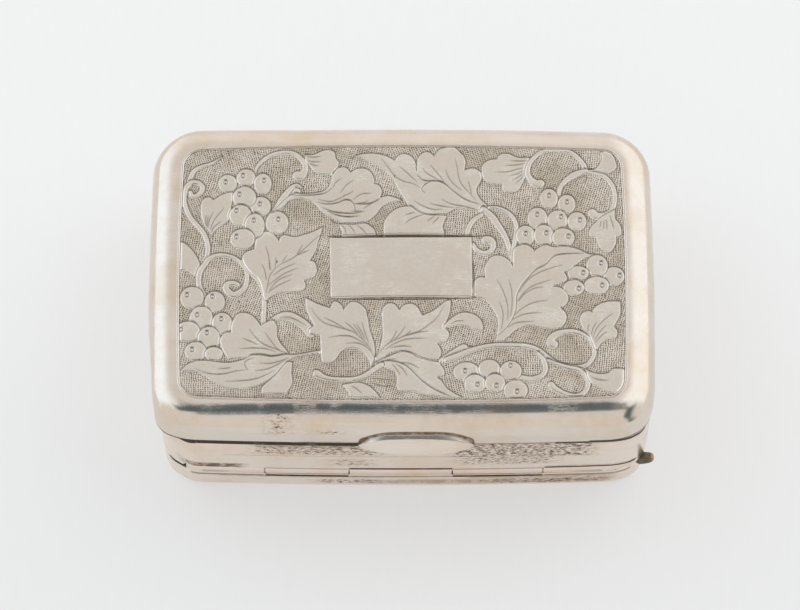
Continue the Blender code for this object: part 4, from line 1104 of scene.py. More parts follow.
# A flat oval -fall r^4, with a punched ring -depth exp(-((d - eyeRing) / eyeSoft)^2), d = far / eyeRadius
def grape(place, size, eye=None):
    centre = onPlate(place)[0]
    radiusX, radiusY = size[0] * plate["grapePixel"] * plate["grapeGrowth"]
    area = window(centre + np.array([(-radiusX, -radiusY), (radiusX, radiusY)]), plate["around"])
    gx, gy = cellsOf(area)
    r = np.sqrt(((gx - centre[0]) / radiusX) ** 2 + ((gy - centre[1]) / radiusY) ** 2)
    ring = 0.0
    if eye is not None:
        ex, ey = onPlate(eye)[0]
        away = np.sqrt((gx - ex) ** 2 + (gy - ey) ** 2) / plate["eyeRadius"]
        ring = np.exp(-((away - plate["eyeRing"]) / plate["eyeSoft"]) ** 2)
    surface = -plate["grapeFall"] * np.clip(r, 0, 1) ** 4 - plate["eyeDepth"] * ring
    layShape(area, (r - 1) * min(radiusX, radiusY), surface)
    cutDirtAndShadeMark[area] = np.maximum(cutDirtAndShadeMark[area], np.where(r < 1, plate["eyeDirt"] * ring, 0.0))


# Grapes as x, y, half width, half height, eye x, eye y on one enlargement
def grapesOf(pixels, *rows):
    for x, y, a, b, *seen in rows:
        grape(pixels(x, y), pixels(a, b) - pixels(0, 0), pixels(*seen) if seen else None)


# Tapering graver cuts with a V section: half width w sqrt(sin(pi (veinStart + veinSpan s))), s along the cut
def vein(*strokes, half=plate["veinHalf"], depth=plate["veinDepth"]):
    for stroke in strokes:
        path = onPlate(smoothPath(stroke))
        area = window(path, plate["around"])
        far, along = distanceTo(path, area)
        turn = math.pi * (plate["veinStart"] + plate["veinSpan"] * along)
        wide = half * np.sqrt(np.clip(np.sin(turn), 0, 1))
        share = np.clip(1 - far / np.maximum(wide, 0.01), 0, 1)
        cut = -depth * share * wide / plate["veinHalf"]
        lower = np.minimum(relief[area], relief[area] * plate["veinLeft"] + cut)
        relief[area] = np.where(share > 0, lower, relief[area])
        dirtAndShade = np.clip(plate["veinDirt"] - far / np.maximum(plate["veinDark"] * wide, 0.01), 0, 1)
        cutDirtAndShadeMark[area] = np.maximum(cutDirtAndShadeMark[area], dirtAndShade)


# Strokes at the rear left
def engraveRearLeft():
    stem(rl(510, 160, 470, 190, 400, 230, 300, 265, 240, 300, 215, 340, 195, 390, 195, 440),
        0.6, 2.5, 4, 5, 5)
    stem(rl(200, 510, 220, 550, 270, 540, 310, 500, 320, 460, 280, 420, 220, 415, 170, 450, 145, 520, 140,
        600, 160, 680, 200, 760, 260, 830, 320, 900, 350, 960, 370, 1040, 365, 1120, 345, 1170),
        4, 5, 5, 5, 5, 5, 5, 5, 5)
    leaf(rl(70, 1000, 120, 1000, 180, 1040, 240, 1110, 280, 1180, 290, 1235),
        fl(240, 160, 190, 120, 130, 90, 80, 70))
    leaf(rl(410, 950, 390, 900, 340, 840, 310, 760, 300, 680, 310, 610, 340, 570, 390, 560),
        rl(425, 590, 500, 540, 560, 520, 620, 520, 600, 650, 590, 740, 560, 800, 485, 850, 430, 900))
    vein(rl(350, 850, 345, 790, 355, 740), rl(370, 870, 385, 790, 425, 700),
        rl(390, 890, 430, 790, 505, 695, 530, 660), rl(400, 930, 425, 860, 500, 800),
        rl(360, 870, 365, 800, 375, 740))
    stem(rl(840, 310, 850, 270, 890, 220, 960, 165, 1050, 130, 1150, 120, 1230, 140, 1290, 190, 1325, 250,
        1320, 300, 1290, 345, 1250, 345), 2, 4, 4.5, 4.5, 5, 6, 10)
    stem(rl(990, 720, 1060, 680, 1110, 610, 1150, 540, 1190, 490, 1250, 500), 4, 7, 8, 6)


# The spiral tendril on the left, and the stems beside it
def engraveSpiral():
    stem(np.vstack([fl(330, 340, 290, 260, 280, 180, 300, 100, 350, 30),
        rl(390, 1160, 460, 1130, 550, 1130, 640, 1160, 700, 1210, 745, 1265),
        fl(755, 150, 750, 220, 730, 270, 680, 315, 620, 340, 570, 310, 545, 270, 565, 235, 620, 225, 660,
        240)]), 5, 6, 5, 4, 4, 5, 7, 5)
    stem(fl(700, 0, 750, 80, 820, 150, 880, 220, 915, 300, 925, 400, 920, 500, 915, 640), 2, 4, 5, 5, 5, 5)
    stem(fl(1000, 590, 1080, 555, 1170, 550, 1250, 590, 1320, 640, 1380, 710), 5, 9, 10, 10, 10)
    vein(fl(1070, 570, 1150, 560, 1240, 590, 1330, 640))


# Strokes left of the cartouche
def engraveLeft():
    # leaf A, beside the cartouche
    leaf(rl(830, 1060, 840, 980, 880, 920, 940, 895, 1000, 910, 1050, 960),
        rl(1070, 1000, 1080, 960, 1120, 930, 1220, 950, 1300, 930, 1400, 900),
        rl(1500, 850, 1450, 1000, 1430, 1080), rl(1370, 1180, 1420, 1200, 1440, 1270, 1430, 1310, 1400,
        1345), fl(1310, 200, 1330, 240, 1310, 290, 1240, 310, 1130, 320, 1040, 330, 970, 370, 940, 400, 915,
        360), fl(910, 320, 890, 240, 860, 180, 800, 130, 740, 60, 720, 20),
        rl(705, 1150, 740, 1100, 820, 1070))
    vein(rl(1470, 930, 1400, 990, 1300, 1080, 1200, 1160, 1100, 1210, 1040, 1250),
        fl(1040, 70, 980, 150, 960, 230, 940, 330), rl(935, 1040, 965, 1130, 975, 1270),
        rl(1040, 1150, 1030, 1250), rl(1140, 1135, 1100, 1200), rl(1300, 1030, 1240, 1120),
        rl(1360, 1080, 1250, 1130), fl(900, 40, 930, 110, 945, 200), fl(975, 0, 985, 100),
        fl(1230, 30, 1100, 90, 1010, 150), fl(1250, 80, 1110, 140, 960, 250),
        fl(1200, 140, 1060, 200, 970, 300), fl(1190, 190, 1060, 250, 960, 320))
    grapesOf(rl, (565, 425, 85, 80, 545, 415), (745, 370, 85, 80, 715, 352), (910, 430, 80, 95, 920, 400),
        (890, 650, 90, 88, 880, 630), (730, 560, 105, 95, 680, 535), (690, 740, 100, 95, 650, 695),
        (1050, 810, 103, 103, 1060, 780), (830, 840, 90, 110, 820, 790), (710, 970, 110, 92, 650, 950))


# Strokes at the front left
def engraveFrontLeft():
    # leaf C over the lower left grapes, and the long leaf below it
    grapesOf(fl, (215, 370, 105, 100, 165, 345), (440, 410, 90, 95, 415, 360),
        (305, 570, 105, 105, 265, 540), (510, 620, 90, 95, 500, 580), (170, 700, 110, 90, 105, 680),
        (380, 770, 100, 105, 360, 715), (250, 895, 95, 85, 215, 880), (430, 920, 80, 60))
    leaf(fl(1160, 910, 1130, 870, 1080, 810, 1050, 740, 1050, 660, 1020, 600, 980, 595, 930, 620),
        fl(890, 655, 860, 600, 800, 540, 730, 515, 660, 530, 620, 590, 600, 650),
        fl(600, 710, 560, 710, 510, 740, 490, 800, 510, 870, 550, 940, 590, 970, 700, 960, 790, 960, 900,
        960, 1000, 960, 1130, 930))
    leaf(fl(90, 1100, 160, 1030, 240, 995, 350, 985, 470, 1000, 590, 1005, 700, 980, 760, 960, 800, 935,
        900, 935, 1000, 950, 1130, 930, 1250, 925, 1480, 885),
        fl(1480, 915, 1300, 930, 1220, 950, 1150, 990, 1100, 1040, 1040, 1110, 950, 1180, 850, 1230, 740,
        1260, 620, 1265, 510, 1240, 420, 1190, 330, 1130, 250, 1095, 170, 1085))
    vein(fl(775, 670, 830, 750, 910, 820, 1000, 860, 1160, 920),
        fl(930, 710, 980, 780, 1050, 870, 1130, 910), fl(710, 765, 790, 800, 860, 830),
        fl(680, 870, 800, 865, 930, 870, 1040, 900), fl(820, 960, 760, 980, 730, 1010, 740, 1050, 770,
        1080), fl(240, 1060, 330, 1100, 430, 1120, 540, 1115, 640, 1090, 750, 1075),
        fl(470, 1065, 530, 1065, 600, 1055), fl(540, 1190, 680, 1185, 820, 1170, 930, 1130, 1020, 1080),
        fl(830, 1085, 950, 1070, 1060, 1020, 1130, 980), fl(880, 1010, 980, 1015, 1080, 990, 1160, 960))
    leaf(fl(895, 1310, 900, 1250, 950, 1200, 1040, 1120, 1100, 1050, 1150, 1000),
        fl(1200, 1000, 1190, 1100, 1200, 1200, 1150, 1290, 1140, 1310))


# Strokes in the middle of the rear
def engraveRearMiddle():
    leaf(ul(800, 90, 850, 88, 900, 66, 945, 60, 975, 74, 982, 108), ul(1000, 130, 996, 162, 965, 190),
        ul(966, 210, 915, 206, 872, 200, 842, 176, 822, 150, 798, 122))
    vein(ul(806, 100, 850, 104, 895, 98), ul(812, 124, 850, 132, 892, 130), ul(820, 140, 850, 152, 880, 156))
    stem(ul(606, 424, 640, 385, 668, 345, 690, 315, 718, 285, 748, 270, 778, 284), 2, 5, 6.5, 6, 5, 4, 2)
    leaf(ul(606, 436, 650, 385, 700, 340, 740, 324, 800, 322, 860, 318, 920, 300, 950, 260, 965, 210, 990,
        175, 1020, 162, 1050, 170), ul(1070, 195, 1110, 172, 1160, 172, 1195, 195, 1215, 240),
        ul(1210, 262, 1240, 270, 1258, 300, 1256, 325), ul(1245, 347, 1290, 335, 1340, 345),
        ul(1378, 361, 1310, 375, 1260, 400, 1220, 450, 1180, 480, 1130, 497, 1080, 500, 1020, 495, 960, 470,
        900, 430, 850, 378, 800, 356, 760, 350, 700, 366, 650, 408))
    vein(ul(730, 334, 800, 332, 860, 330, 920, 318, 960, 290),
        ul(870, 372, 930, 386, 990, 378, 1040, 360, 1080, 370, 1096, 400, 1100, 425, 1130, 430),
        ul(900, 405, 960, 430, 1030, 440, 1100, 440, 1160, 425),
        ul(930, 425, 990, 452, 1060, 462, 1130, 455), ul(1245, 350, 1190, 380, 1130, 385, 1090, 380),
        half=0.085, depth=0.042)
    vein(ul(945, 465, 965, 490, 1000, 502), half=0.1, depth=0.045)
    vein(rm(300, 515, 350, 500, 400, 470), rm(280, 490, 330, 420, 400, 370),
        rm(210, 440, 240, 390, 290, 350), rm(400, 550, 470, 500, 570, 490),
        rm(430, 585, 490, 580, 540, 560), rm(490, 635, 560, 590, 640, 550),
        rm(380, 655, 430, 660, 480, 655), rm(70, 545, 180, 570, 270, 540, 330, 510))
    # top leaf D
    leaf(rm(390, 170, 440, 140, 520, 125, 600, 125, 680, 140, 740, 165),
        rm(785, 190, 800, 160, 840, 130, 890, 130, 940, 155, 970, 200, 975, 250, 985, 300),
        rm(990, 200, 1000, 160, 1040, 120, 1090, 110, 1130, 135),
        rm(1140, 155, 1190, 90, 1240, 70, 1290, 60, 1340, 70, 1380, 110, 1420, 150, 1435, 200),
        rm(1425, 280, 1450, 270, 1510, 260, 1568, 290, 1585, 330, 1575, 380, 1545, 430, 1535, 470, 1555,
        520, 1585, 560, 1635, 610, 1635, 680, 1560, 660, 1460, 630),
        rm(1340, 630, 1270, 670, 1200, 695, 1100, 695, 1010, 670, 930, 620, 880, 560, 830, 480, 790, 410,
        760, 350, 700, 290, 620, 240, 540, 195, 460, 155))
    vein(rm(660, 170, 720, 250, 780, 330, 860, 380, 940, 400, 1020, 440), rm(820, 240, 880, 290, 985, 385),
        rm(1110, 230, 1160, 290, 1210, 350, 1240, 400), rm(1040, 260, 1080, 310, 1200, 375),
        rm(1250, 270, 1280, 350, 1340, 420, 1400, 465), rm(1340, 180, 1360, 270, 1370, 340, 1400, 410, 1480,
        500, 1530, 560), rm(1460, 380, 1475, 440, 1490, 500), rm(1210, 545, 1300, 590, 1400, 610, 1568,
        650), rm(1100, 585, 1210, 610, 1330, 625), rm(960, 560, 1040, 610, 1130, 640, 1220, 640))
    vein(rm(985, 320, 1050, 375, 1180, 380, 1250, 410, 1320, 470, 1400, 530, 1480, 570, 1560, 590),
        rm(1060, 490, 1030, 450, 1060, 410, 1110, 385), half=0.10, depth=0.05)


# The low leaves just behind the cartouche
def engraveOverCartouche():
    leaf(ul(1020, 580, 1018, 545, 1004, 506, 1040, 506, 1100, 506, 1160, 500, 1190, 515, 1215, 540, 1224,
        580), ul(1200, 582, 1100, 583))
    leaf(rm(680, 890, 680, 780, 710, 710, 770, 650, 850, 615, 930, 615, 1010, 670, 1100, 695, 1200, 695,
        1260, 700), rm(1240, 740, 1225, 800, 1215, 890, 900, 900))
    vein(rm(880, 770, 930, 730, 1060, 680), rm(880, 690, 970, 665), rm(1080, 750, 1150, 700),
        rm(1130, 770, 1190, 710))
    vein(ul(1055, 508, 1080, 530, 1100, 562), ul(1110, 512, 1140, 535, 1168, 566),
        ul(1010, 505, 1035, 530, 1045, 565))


# Strokes in the middle of the front
def engraveFrontMiddle():
    # leaf E, left of the middle, and F, right of it, from one hub
    leaf(fl(1330, 370, 1440, 425, 1490, 440), fm(30, 385, 80, 410, 150, 430),
        fm(185, 445, 215, 385, 250, 385, 290, 415), fm(310, 465, 330, 430, 370, 390, 420, 385, 470, 410,
        510, 450, 525, 500, 540, 570, 550, 640, 590, 760, 600, 840, 590, 900, 575, 960, 560, 1000),
        fm(555, 1000, 550, 940, 510, 870, 460, 830, 400, 810, 330, 820, 280, 850, 250, 900, 200, 940, 150,
        950, 110, 930, 100, 860), fl(1470, 740, 1370, 720), fl(1365, 680, 1410, 640, 1390, 600, 1350, 520,
        1330, 450))
    leaf(fm(600, 960, 600, 900, 620, 880, 650, 790, 670, 680, 665, 560, 665, 470, 690, 420, 740, 395, 790,
        415), fm(825, 465, 860, 420, 920, 400, 970, 415, 1010, 460, 1035, 510),
        fm(1040, 510, 1130, 470, 1200, 420, 1250, 380), fm(1300, 370, 1290, 480, 1260, 560, 1240, 610, 1270,
        650, 1285, 690, 1250, 750), fm(1170, 765, 1200, 810, 1210, 860, 1180, 910, 1100, 925, 1030, 905,
        950, 870, 850, 845, 750, 850, 680, 900))
    vein(fm(10, 440, 60, 520, 130, 580, 220, 610, 330, 640, 410, 670, 470, 720, 530, 780, 575, 840),
        fm(130, 530, 230, 580, 320, 630), fm(320, 570, 380, 620, 440, 680),
        fm(400, 590, 450, 660, 490, 730), fm(430, 590, 480, 670, 510, 740),
        fm(475, 570, 510, 680, 540, 770), fm(170, 715, 270, 700, 370, 705, 450, 740, 530, 790),
        fm(330, 770, 420, 765, 500, 790, 560, 840, 590, 900))
    vein(fm(610, 900, 650, 840, 720, 770, 800, 730, 900, 690, 1000, 660, 1090, 600, 1170, 530, 1240, 420),
        fm(720, 780, 770, 710, 800, 650), fm(770, 740, 830, 680, 880, 610),
        fm(860, 700, 900, 680, 930, 650), fm(890, 700, 990, 670, 1090, 655),
        fm(690, 830, 780, 770, 900, 730, 1090, 720), fm(740, 810, 840, 795, 940, 800))
    # leaf G and the low ribbons
    leaf(fm(600, 950, 700, 900, 830, 850, 920, 860, 1000, 900, 1100, 930, 1180, 940, 1210, 970, 1240, 1020),
        fm(1240, 1060, 1170, 1080, 1210, 1110, 1260, 1180, 1350, 1240),
        fm(1400, 1262, 1300, 1268, 1060, 1240, 960, 1210), fm(830, 1210, 800, 1170, 800, 1100, 790, 1040,
        740, 1010, 680, 985, 620, 980))
    vein(fm(600, 950, 700, 930, 800, 940, 880, 970, 950, 1030, 1030, 1110, 1110, 1170, 1200, 1220, 1300,
        1260), half=0.10, depth=0.05)
    vein(fm(620, 950, 710, 925, 800, 910), fm(850, 940, 930, 960, 1010, 1000),
        fm(790, 960, 850, 1000, 900, 1070), fm(760, 960, 800, 1010, 830, 1060))
    stem(fm(60, 1045, 130, 1080, 200, 1095, 330, 1100, 440, 1090, 530, 1050, 600, 1000, 660, 965),
        8, 5, 4.5, 4.5, 5, 5, 5)
    vein(fm(540, 1090, 650, 1095, 770, 1110), fm(560, 1130, 660, 1160, 780, 1160))
    leaf(fm(300, 1150, 350, 1140, 450, 1130, 540, 1160, 600, 1210, 640, 1262),
        fm(640, 1264, 500, 1264, 385, 1262, 350, 1215))
    vein(fm(380, 1160, 430, 1190, 480, 1230))
    leaf(fm(1240, 600, 1300, 540, 1380, 490, 1460, 485, 1530, 510, 1580, 560, 1595, 620, 1580, 645),
        fm(1500, 640, 1470, 620, 1400, 605, 1320, 610, 1250, 630))
    vein(fm(1300, 590, 1350, 565, 1420, 560))
    stem(np.vstack([fm(1210, 930, 1250, 900, 1330, 850, 1420, 800), fr(50, 840, 100, 820)]), 5, 6, 6, 6)


# Strokes at the rear right
def engraveRearRight():
    # stems that drop from leaf D to the big leaf
    stem(rr(215, 640, 290, 700, 340, 770, 400, 860, 440, 950, 465, 1050, 480, 1110), 6, 7, 6, 5, 3)
    stem(rr(270, 620, 350, 625, 430, 660, 490, 715, 520, 790, 515, 860, 505, 930, 490, 1010, 480, 1080),
        3, 4, 4.5, 4.5, 4)
    stem(rr(60, 900, 70, 850, 90, 790, 135, 730, 200, 690), 4, 5, 5, 4)
    stem(rr(120, 960, 150, 1010, 210, 1040, 270, 1030, 305, 990, 305, 950, 275, 920, 240, 920),
        4, 5, 5, 6, 9)
    leaf(rr(640, 160, 560, 165, 500, 150, 460, 130, 400, 125, 360, 140),
        rr(345, 175, 290, 180, 240, 200, 205, 240, 200, 300, 220, 360, 270, 400, 330, 410),
        rr(390, 410, 390, 450, 420, 480, 490, 480, 540, 460, 570, 410, 600, 350, 640, 250))
    vein(rr(460, 190, 550, 195, 630, 190), rr(420, 235, 510, 232, 600, 215),
        rr(330, 295, 430, 295, 530, 270, 590, 255), rr(450, 330, 530, 310, 590, 280),
        rr(480, 370, 540, 340, 590, 300), rr(510, 400, 560, 360, 590, 320))
    stem(rr(740, 400, 700, 400, 650, 360, 625, 310, 630, 250, 660, 190, 720, 130, 800, 95, 900, 90, 1000,
        105, 1080, 155, 1140, 225, 1160, 270), 9, 6, 4.5, 4.5, 4.5, 4.5, 4.5, 4.5)
    stem(rr(910, 510, 925, 440, 970, 380, 1040, 330, 1120, 295, 1200, 290, 1290, 310, 1360, 360, 1410, 430,
        1430, 520, 1420, 600, 1390, 660, 1330, 695, 1260, 700, 1220, 670),
        4, 5, 7, 5, 4.5, 4.5, 4.5, 5, 7, 9)
    vein(rr(1050, 390, 1100, 350, 1160, 330, 1170, 350, 1140, 390, 1080, 400))
    leaf(rr(1300, 110, 1330, 95, 1380, 110, 1420, 160, 1445, 230),
        rr(1450, 240, 1420, 280, 1350, 310, 1290, 300, 1190, 280),
        rr(1190, 275, 1240, 270, 1290, 220, 1310, 170))
    leaf(rr(1430, 640, 1430, 720, 1470, 770, 1490, 830, 1480, 880), rr(1440, 890, 1440, 950, 1400, 1020),
        rr(1360, 1045, 1290, 990, 1260, 920), rr(1250, 900, 1200, 890, 1190, 840, 1220, 790, 1260, 750,
        1320, 700))
    vein(rr(1300, 750, 1290, 800), rr(1330, 740, 1320, 820), rr(1350, 730, 1355, 830),
        rr(1380, 690, 1400, 760, 1420, 820))
    grapesOf(rr, (820, 540, 75, 85, 820, 515), (985, 590, 75, 80, 985, 575), (715, 720, 85, 90, 710, 690),
        (900, 740, 85, 85, 930, 710), (1080, 750, 80, 80, 1105, 740), (605, 880, 80, 85, 605, 865),
        (775, 880, 85, 90, 795, 860), (955, 900, 95, 80, 1000, 890))


# Strokes at the front right
def engraveFrontRight():
    # loops and tendrils first, then the big leaf J over them
    stem(fr(865, 775, 835, 760, 850, 715, 900, 680, 980, 660, 1060, 660, 1140, 690, 1200, 740, 1240, 810,
        1235, 880, 1190, 950, 1130, 980, 1050, 985, 950, 970, 870, 940, 800, 890, 740, 840, 680, 810, 600,
        790, 480, 785, 330, 785, 200, 805, 100, 835, 0, 875, -120, 920),
        9, 6, 4.5, 4.5, 4.5, 5, 5, 5, 5, 5.5, 6)
    stem(fr(810, 920, 900, 960, 1000, 990, 1090, 1010, 1150, 1060, 1180, 1120, 1170, 1190, 1110, 1245, 1030,
        1250, 940, 1220, 870, 1180, 840, 1150), 2, 4, 4.5, 5, 5, 5, 5, 7)
    stem(fr(720, 860, 770, 920, 790, 1000, 760, 1060, 680, 1095, 600, 1095, 560, 1085), 3, 5, 5, 6, 7)
    grapesOf(fr, (1420, 150, 90, 80, 1470, 145), (1265, 50, 90, 90, 1300, 30),
        (1090, 120, 90, 60, 1135, 120), (1260, 235, 105, 75, 1310, 235), (1050, 255, 88, 65, 1095, 265))
    leaf(fr(400, 740, 330, 750, 340, 700, 345, 640, 350, 570, 330, 500, 280, 420, 220, 360, 130, 320, 130,
        230, 145, 180, 190, 155), fr(235, 165, 225, 80, 240, 40, 260, 5, 290, -30, 360, -45, 430, -15, 470,
        25), rr(490, 1180, 490, 1040, 510, 990, 560, 970, 620, 970, 670, 1000),
        rr(685, 1030, 700, 1010, 750, 980, 800, 970, 860, 985, 1000, 985, 1100, 1010, 1180, 1050),
        rr(1240, 1050, 1150, 1090, 1080, 1140, 1000, 1199, 960, 1215),
        fr(950, 105, 980, 140, 985, 180, 950, 205, 850, 240, 920, 250, 970, 290, 1000, 340, 990, 390, 950,
        430), fr(920, 435, 970, 480, 985, 530, 970, 580, 930, 620, 850, 635, 750, 625, 660, 605, 590, 610,
        520, 640, 460, 690))
    vein(np.vstack([fr(350, 700, 430, 620, 490, 530, 520, 430, 525, 330, 560, 250, 620, 170, 700, 90, 790,
        40), rr(870, 1070, 1000, 1050, 1140, 1045)]), half=0.10, depth=0.05)
    vein(fr(340, 180, 380, 250, 420, 350, 440, 440, 440, 560), fr(450, 180, 475, 280, 480, 400, 465, 520),
        fr(360, 380, 390, 460, 395, 540, 380, 640), fr(545, 300, 620, 190, 720, 120, 850, 70, 950, 45),
        fr(520, 400, 580, 310, 670, 240, 840, 180), fr(490, 520, 580, 440, 690, 390, 810, 370),
        fr(470, 560, 560, 510, 660, 490, 760, 485), fr(440, 620, 520, 580, 680, 565),
        fr(540, 380, 600, 310, 690, 260, 770, 250))
    grapesOf(fr, (60, 1030, 110, 80, 45, 1025), (270, 1000, 90, 75), (470, 1020, 90, 80, 465, 975),
        (140, 1140, 90, 75, 160, 1150), (325, 1135, 85, 75, 335, 1160), (515, 1200, 100, 83, 525, 1215))
    leaf(fr(1230, 775, 1190, 690, 1140, 640, 1110, 570, 1115, 510, 1150, 475, 1200, 470),
        fr(1220, 490, 1240, 440, 1300, 400, 1380, 380), fr(1480, 380, 1480, 490, 1450, 560),
        fr(1420, 610, 1450, 650, 1450, 690, 1430, 720, 1360, 730, 1300, 770, 1260, 830))
    vein(fr(1180, 660, 1180, 620, 1190, 590), fr(1210, 690, 1225, 630, 1260, 570),
        fr(1225, 720, 1260, 630, 1320, 560, 1410, 490), fr(1240, 740, 1290, 660, 1350, 600),
        fr(1250, 760, 1300, 700, 1360, 660))
    leaf(fr(1160, 1000, 1200, 1030, 1290, 1050, 1370, 1040, 1410, 1005, 1480, 1000),
        fr(1520, 1010, 1535, 1080, 1525, 1140, 1480, 1210), fr(1420, 1230, 1340, 1210, 1270, 1170, 1220,
        1140, 1180, 1080))
    vein(fr(1210, 1080, 1280, 1105, 1370, 1110))


cartouche = {
    "corners": onWhole(329.7, 236.8, 471.6, 235.6, 472.6, 297.2, 330.6, 298.0),
    "longCuts": (onWhole(328, 237, 400, 235.4, 482, 236), onWhole(329, 298.2, 400, 297.8, 476, 297.4)),
    "longHalf": 0.19, "longDepth": 0.10,
    "endCut": onWhole(473.6, 262, 474.2, 280, 474.6, 298), "endHalf": 0.10, "endDepth": 0.05,
    "pits": onWhole(394.5, 176.5, 297.5, 229.5, 239, 301.5, 277, 262),
}


# The blank name plate: a flat rectangle with a heavy cut above and below.
# Then small round pits, exp(-(r / radius)^2).
def engraveCartouche():
    leaf(*cartouche["corners"][:, None])
    vein(*cartouche["longCuts"], half=cartouche["longHalf"], depth=cartouche["longDepth"])
    vein(cartouche["endCut"], half=cartouche["endHalf"], depth=cartouche["endDepth"])
    for x, y in onPlate(cartouche["pits"]):
        hole = np.exp(-((rasterX[None, :] - x) ** 2 + (rasterY[:, None] - y) ** 2) / plate["pitRadius"] ** 2)
        relief[:] -= plate["pitDepth"] * hole
        cutDirtAndShadeMark[:] = np.maximum(cutDirtAndShadeMark, plate["holeDirt"] * hole)


# What is engraved later lies over what is there
for engrave in (engraveRearLeft, engraveSpiral, engraveLeft, engraveFrontLeft, engraveRearMiddle,
                engraveRearRight, engraveOverCartouche, engraveFrontMiddle, engraveFrontRight,
                engraveCartouche):
    engrave()
print("engraving drawn")

# Directions of the ground lines: photograph x, y, turn in degrees
hatchTurns = np.array([
    (200, 155, 55), (240, 158, 60), (200, 175, 30), (280, 170, 10), (195, 205, 45), (300, 220, 5),
    (190, 235, 20), (225, 240, 10), (320, 265, 35), (215, 275, 15), (185, 275, 20), (245, 300, 40),
    (290, 305, 60), (185, 310, 40), (190, 360, 20), (200, 382, 0), (235, 392, 0), (300, 330, 15),
    (305, 370, 30), (330, 390, 20), (350, 365, 0), (385, 375, 10), (390, 392, 35), (375, 320, 25),
    (435, 305, 60), (420, 150, 45), (470, 155, 55), (380, 175, 30), (385, 225, 50), (460, 220, 10),
    (490, 190, 0), (520, 152, 60), (555, 165, 40), (590, 160, 10), (590, 195, 35), (520, 210, 20),
    (480, 230, 70), (480, 265, 25), (590, 235, 5), (615, 210, 20), (590, 300, 30),
    (575, 320, 40), (620, 300, 35), (470, 335, 30), (530, 335, 40), (500, 352, 20), (530, 365, 0),
    (575, 350, 0), (575, 380, 40), (610, 350, 10), (450, 375, 65), (460, 388, 65), (535, 392, 35),
    (600, 394, 35)], float)


# Turn of the nearest listed patch. Crossed lines look the same after a quarter turn, so it is brought
# between -45 and 45 degrees, and turnShare of that is used.
def turnAt(x, y):
    best, turn = np.full(x.shape, 1e9), np.zeros(x.shape)
    for (sx, sy), angle in zip(onPlate(hatchTurns[:, :2]), np.radians(hatchTurns[:, 2])):
        far = (x - sx) ** 2 + (y - sy) ** 2
        turn = np.where(far < best, angle, turn)
        best = np.minimum(far, best)
    return ((turn + math.pi / 4) % (math.pi / 2) - math.pi / 4) * plate["turnShare"]


# Binomial blur: an average of 1, 2, 1 along both directions
def softened(field):
    for axis in (0, 1):
        field = (np.roll(field, 1, axis) + 2 * field + np.roll(field, -1, axis)) / 4
    return field


# Bilinear reading of the raster at any x, y
def sampled(field, x, y):
    u = np.clip((x - rasterX[0]) / plate["rasterPitch"], 0, len(rasterX) - 1.001)
    v = np.clip((y - rasterY[0]) / plate["rasterPitch"], 0, len(rasterY) - 1.001)
    c, r = u.astype(int), v.astype(int)
    u, v = u - c, v - r
    return ((field[r, c] * (1 - u) + field[r, c + 1] * u) * (1 - v)
            + (field[r + 1, c] * (1 - u) + field[r + 1, c + 1] * u) * v)


# The engraved plate in four closed tiles: top z = lid top + relief, x = u W(y), y = v H, then the plan's bow.
# Its own edge is rounded: the drop follows the distance to the outline.
def makePlate():
    inset, pitch = plate["edgeInset"], plate["meshPitch"]
    halfX, halfY, radius = halves(inset)
    half = np.linspace(0, plate["evenShare"] * halfY, int(halfY / pitch))
    half = np.concatenate([half, np.array(plate["edgeRows"]) * halfY])
    rows = np.concatenate([-half[::-1][:-1], half])
    columns = 2 * int(halfX / pitch) + 1
    over = np.maximum(np.abs(rows) - (halfY - radius), 0)
    width = halfX - radius + np.sqrt(np.maximum(radius ** 2 - over ** 2, 0))
    gx = np.linspace(-1, 1, columns) * width[:, None]
    x, y = bowed(gx, np.repeat(rows[:, None], columns, axis=1), halfX, halfY)
    rim = planLoop(inset)
    far = distanceTo(np.vstack([rim, rim[:1]]), (slice(None), slice(None)))[0]
    share = np.clip(1 - far / plate["edgeRound"], 0, 1)
    height = softened(np.minimum(softened(relief), -plate["edgeDrop"] * share))
    slopeY, slopeX = np.gradient(height, plate["rasterPitch"])
    z = box["top"] + np.minimum(sampled(height, x, y), 0.0)
    normal = np.stack([-sampled(slopeX, x, y), -sampled(slopeY, x, y), np.ones_like(z)], axis=-1)
    normal /= np.linalg.norm(normal, axis=-1, keepdims=True)
    top = np.stack([x, y, z], axis=-1)
    # The cut attribute is the dirt and painted shade in the cuts, less the painted highlight on the lit edges
    attributes = {"ground": sampled(softened(groundMark), x, y),
                  "cut": sampled(softened(cutDirtAndShadeMark - paintedHighlightMark), x, y), "turn": turnAt(x, y)}
    row, column = len(rows) // 2, columns // 2
    for depthLabel, rowPart in (("front", slice(0, row + 1)), ("rear", slice(row, None))):
        for sideLabel, columnPart in (("left", slice(0, column + 1)), ("right", slice(column, None))):
            part = (rowPart, columnPart)
            makeTile("lid_plate_%s_%s" % (depthLabel, sideLabel), top[part], normal[part],
                     {key: value[part] for key, value in attributes.items()})


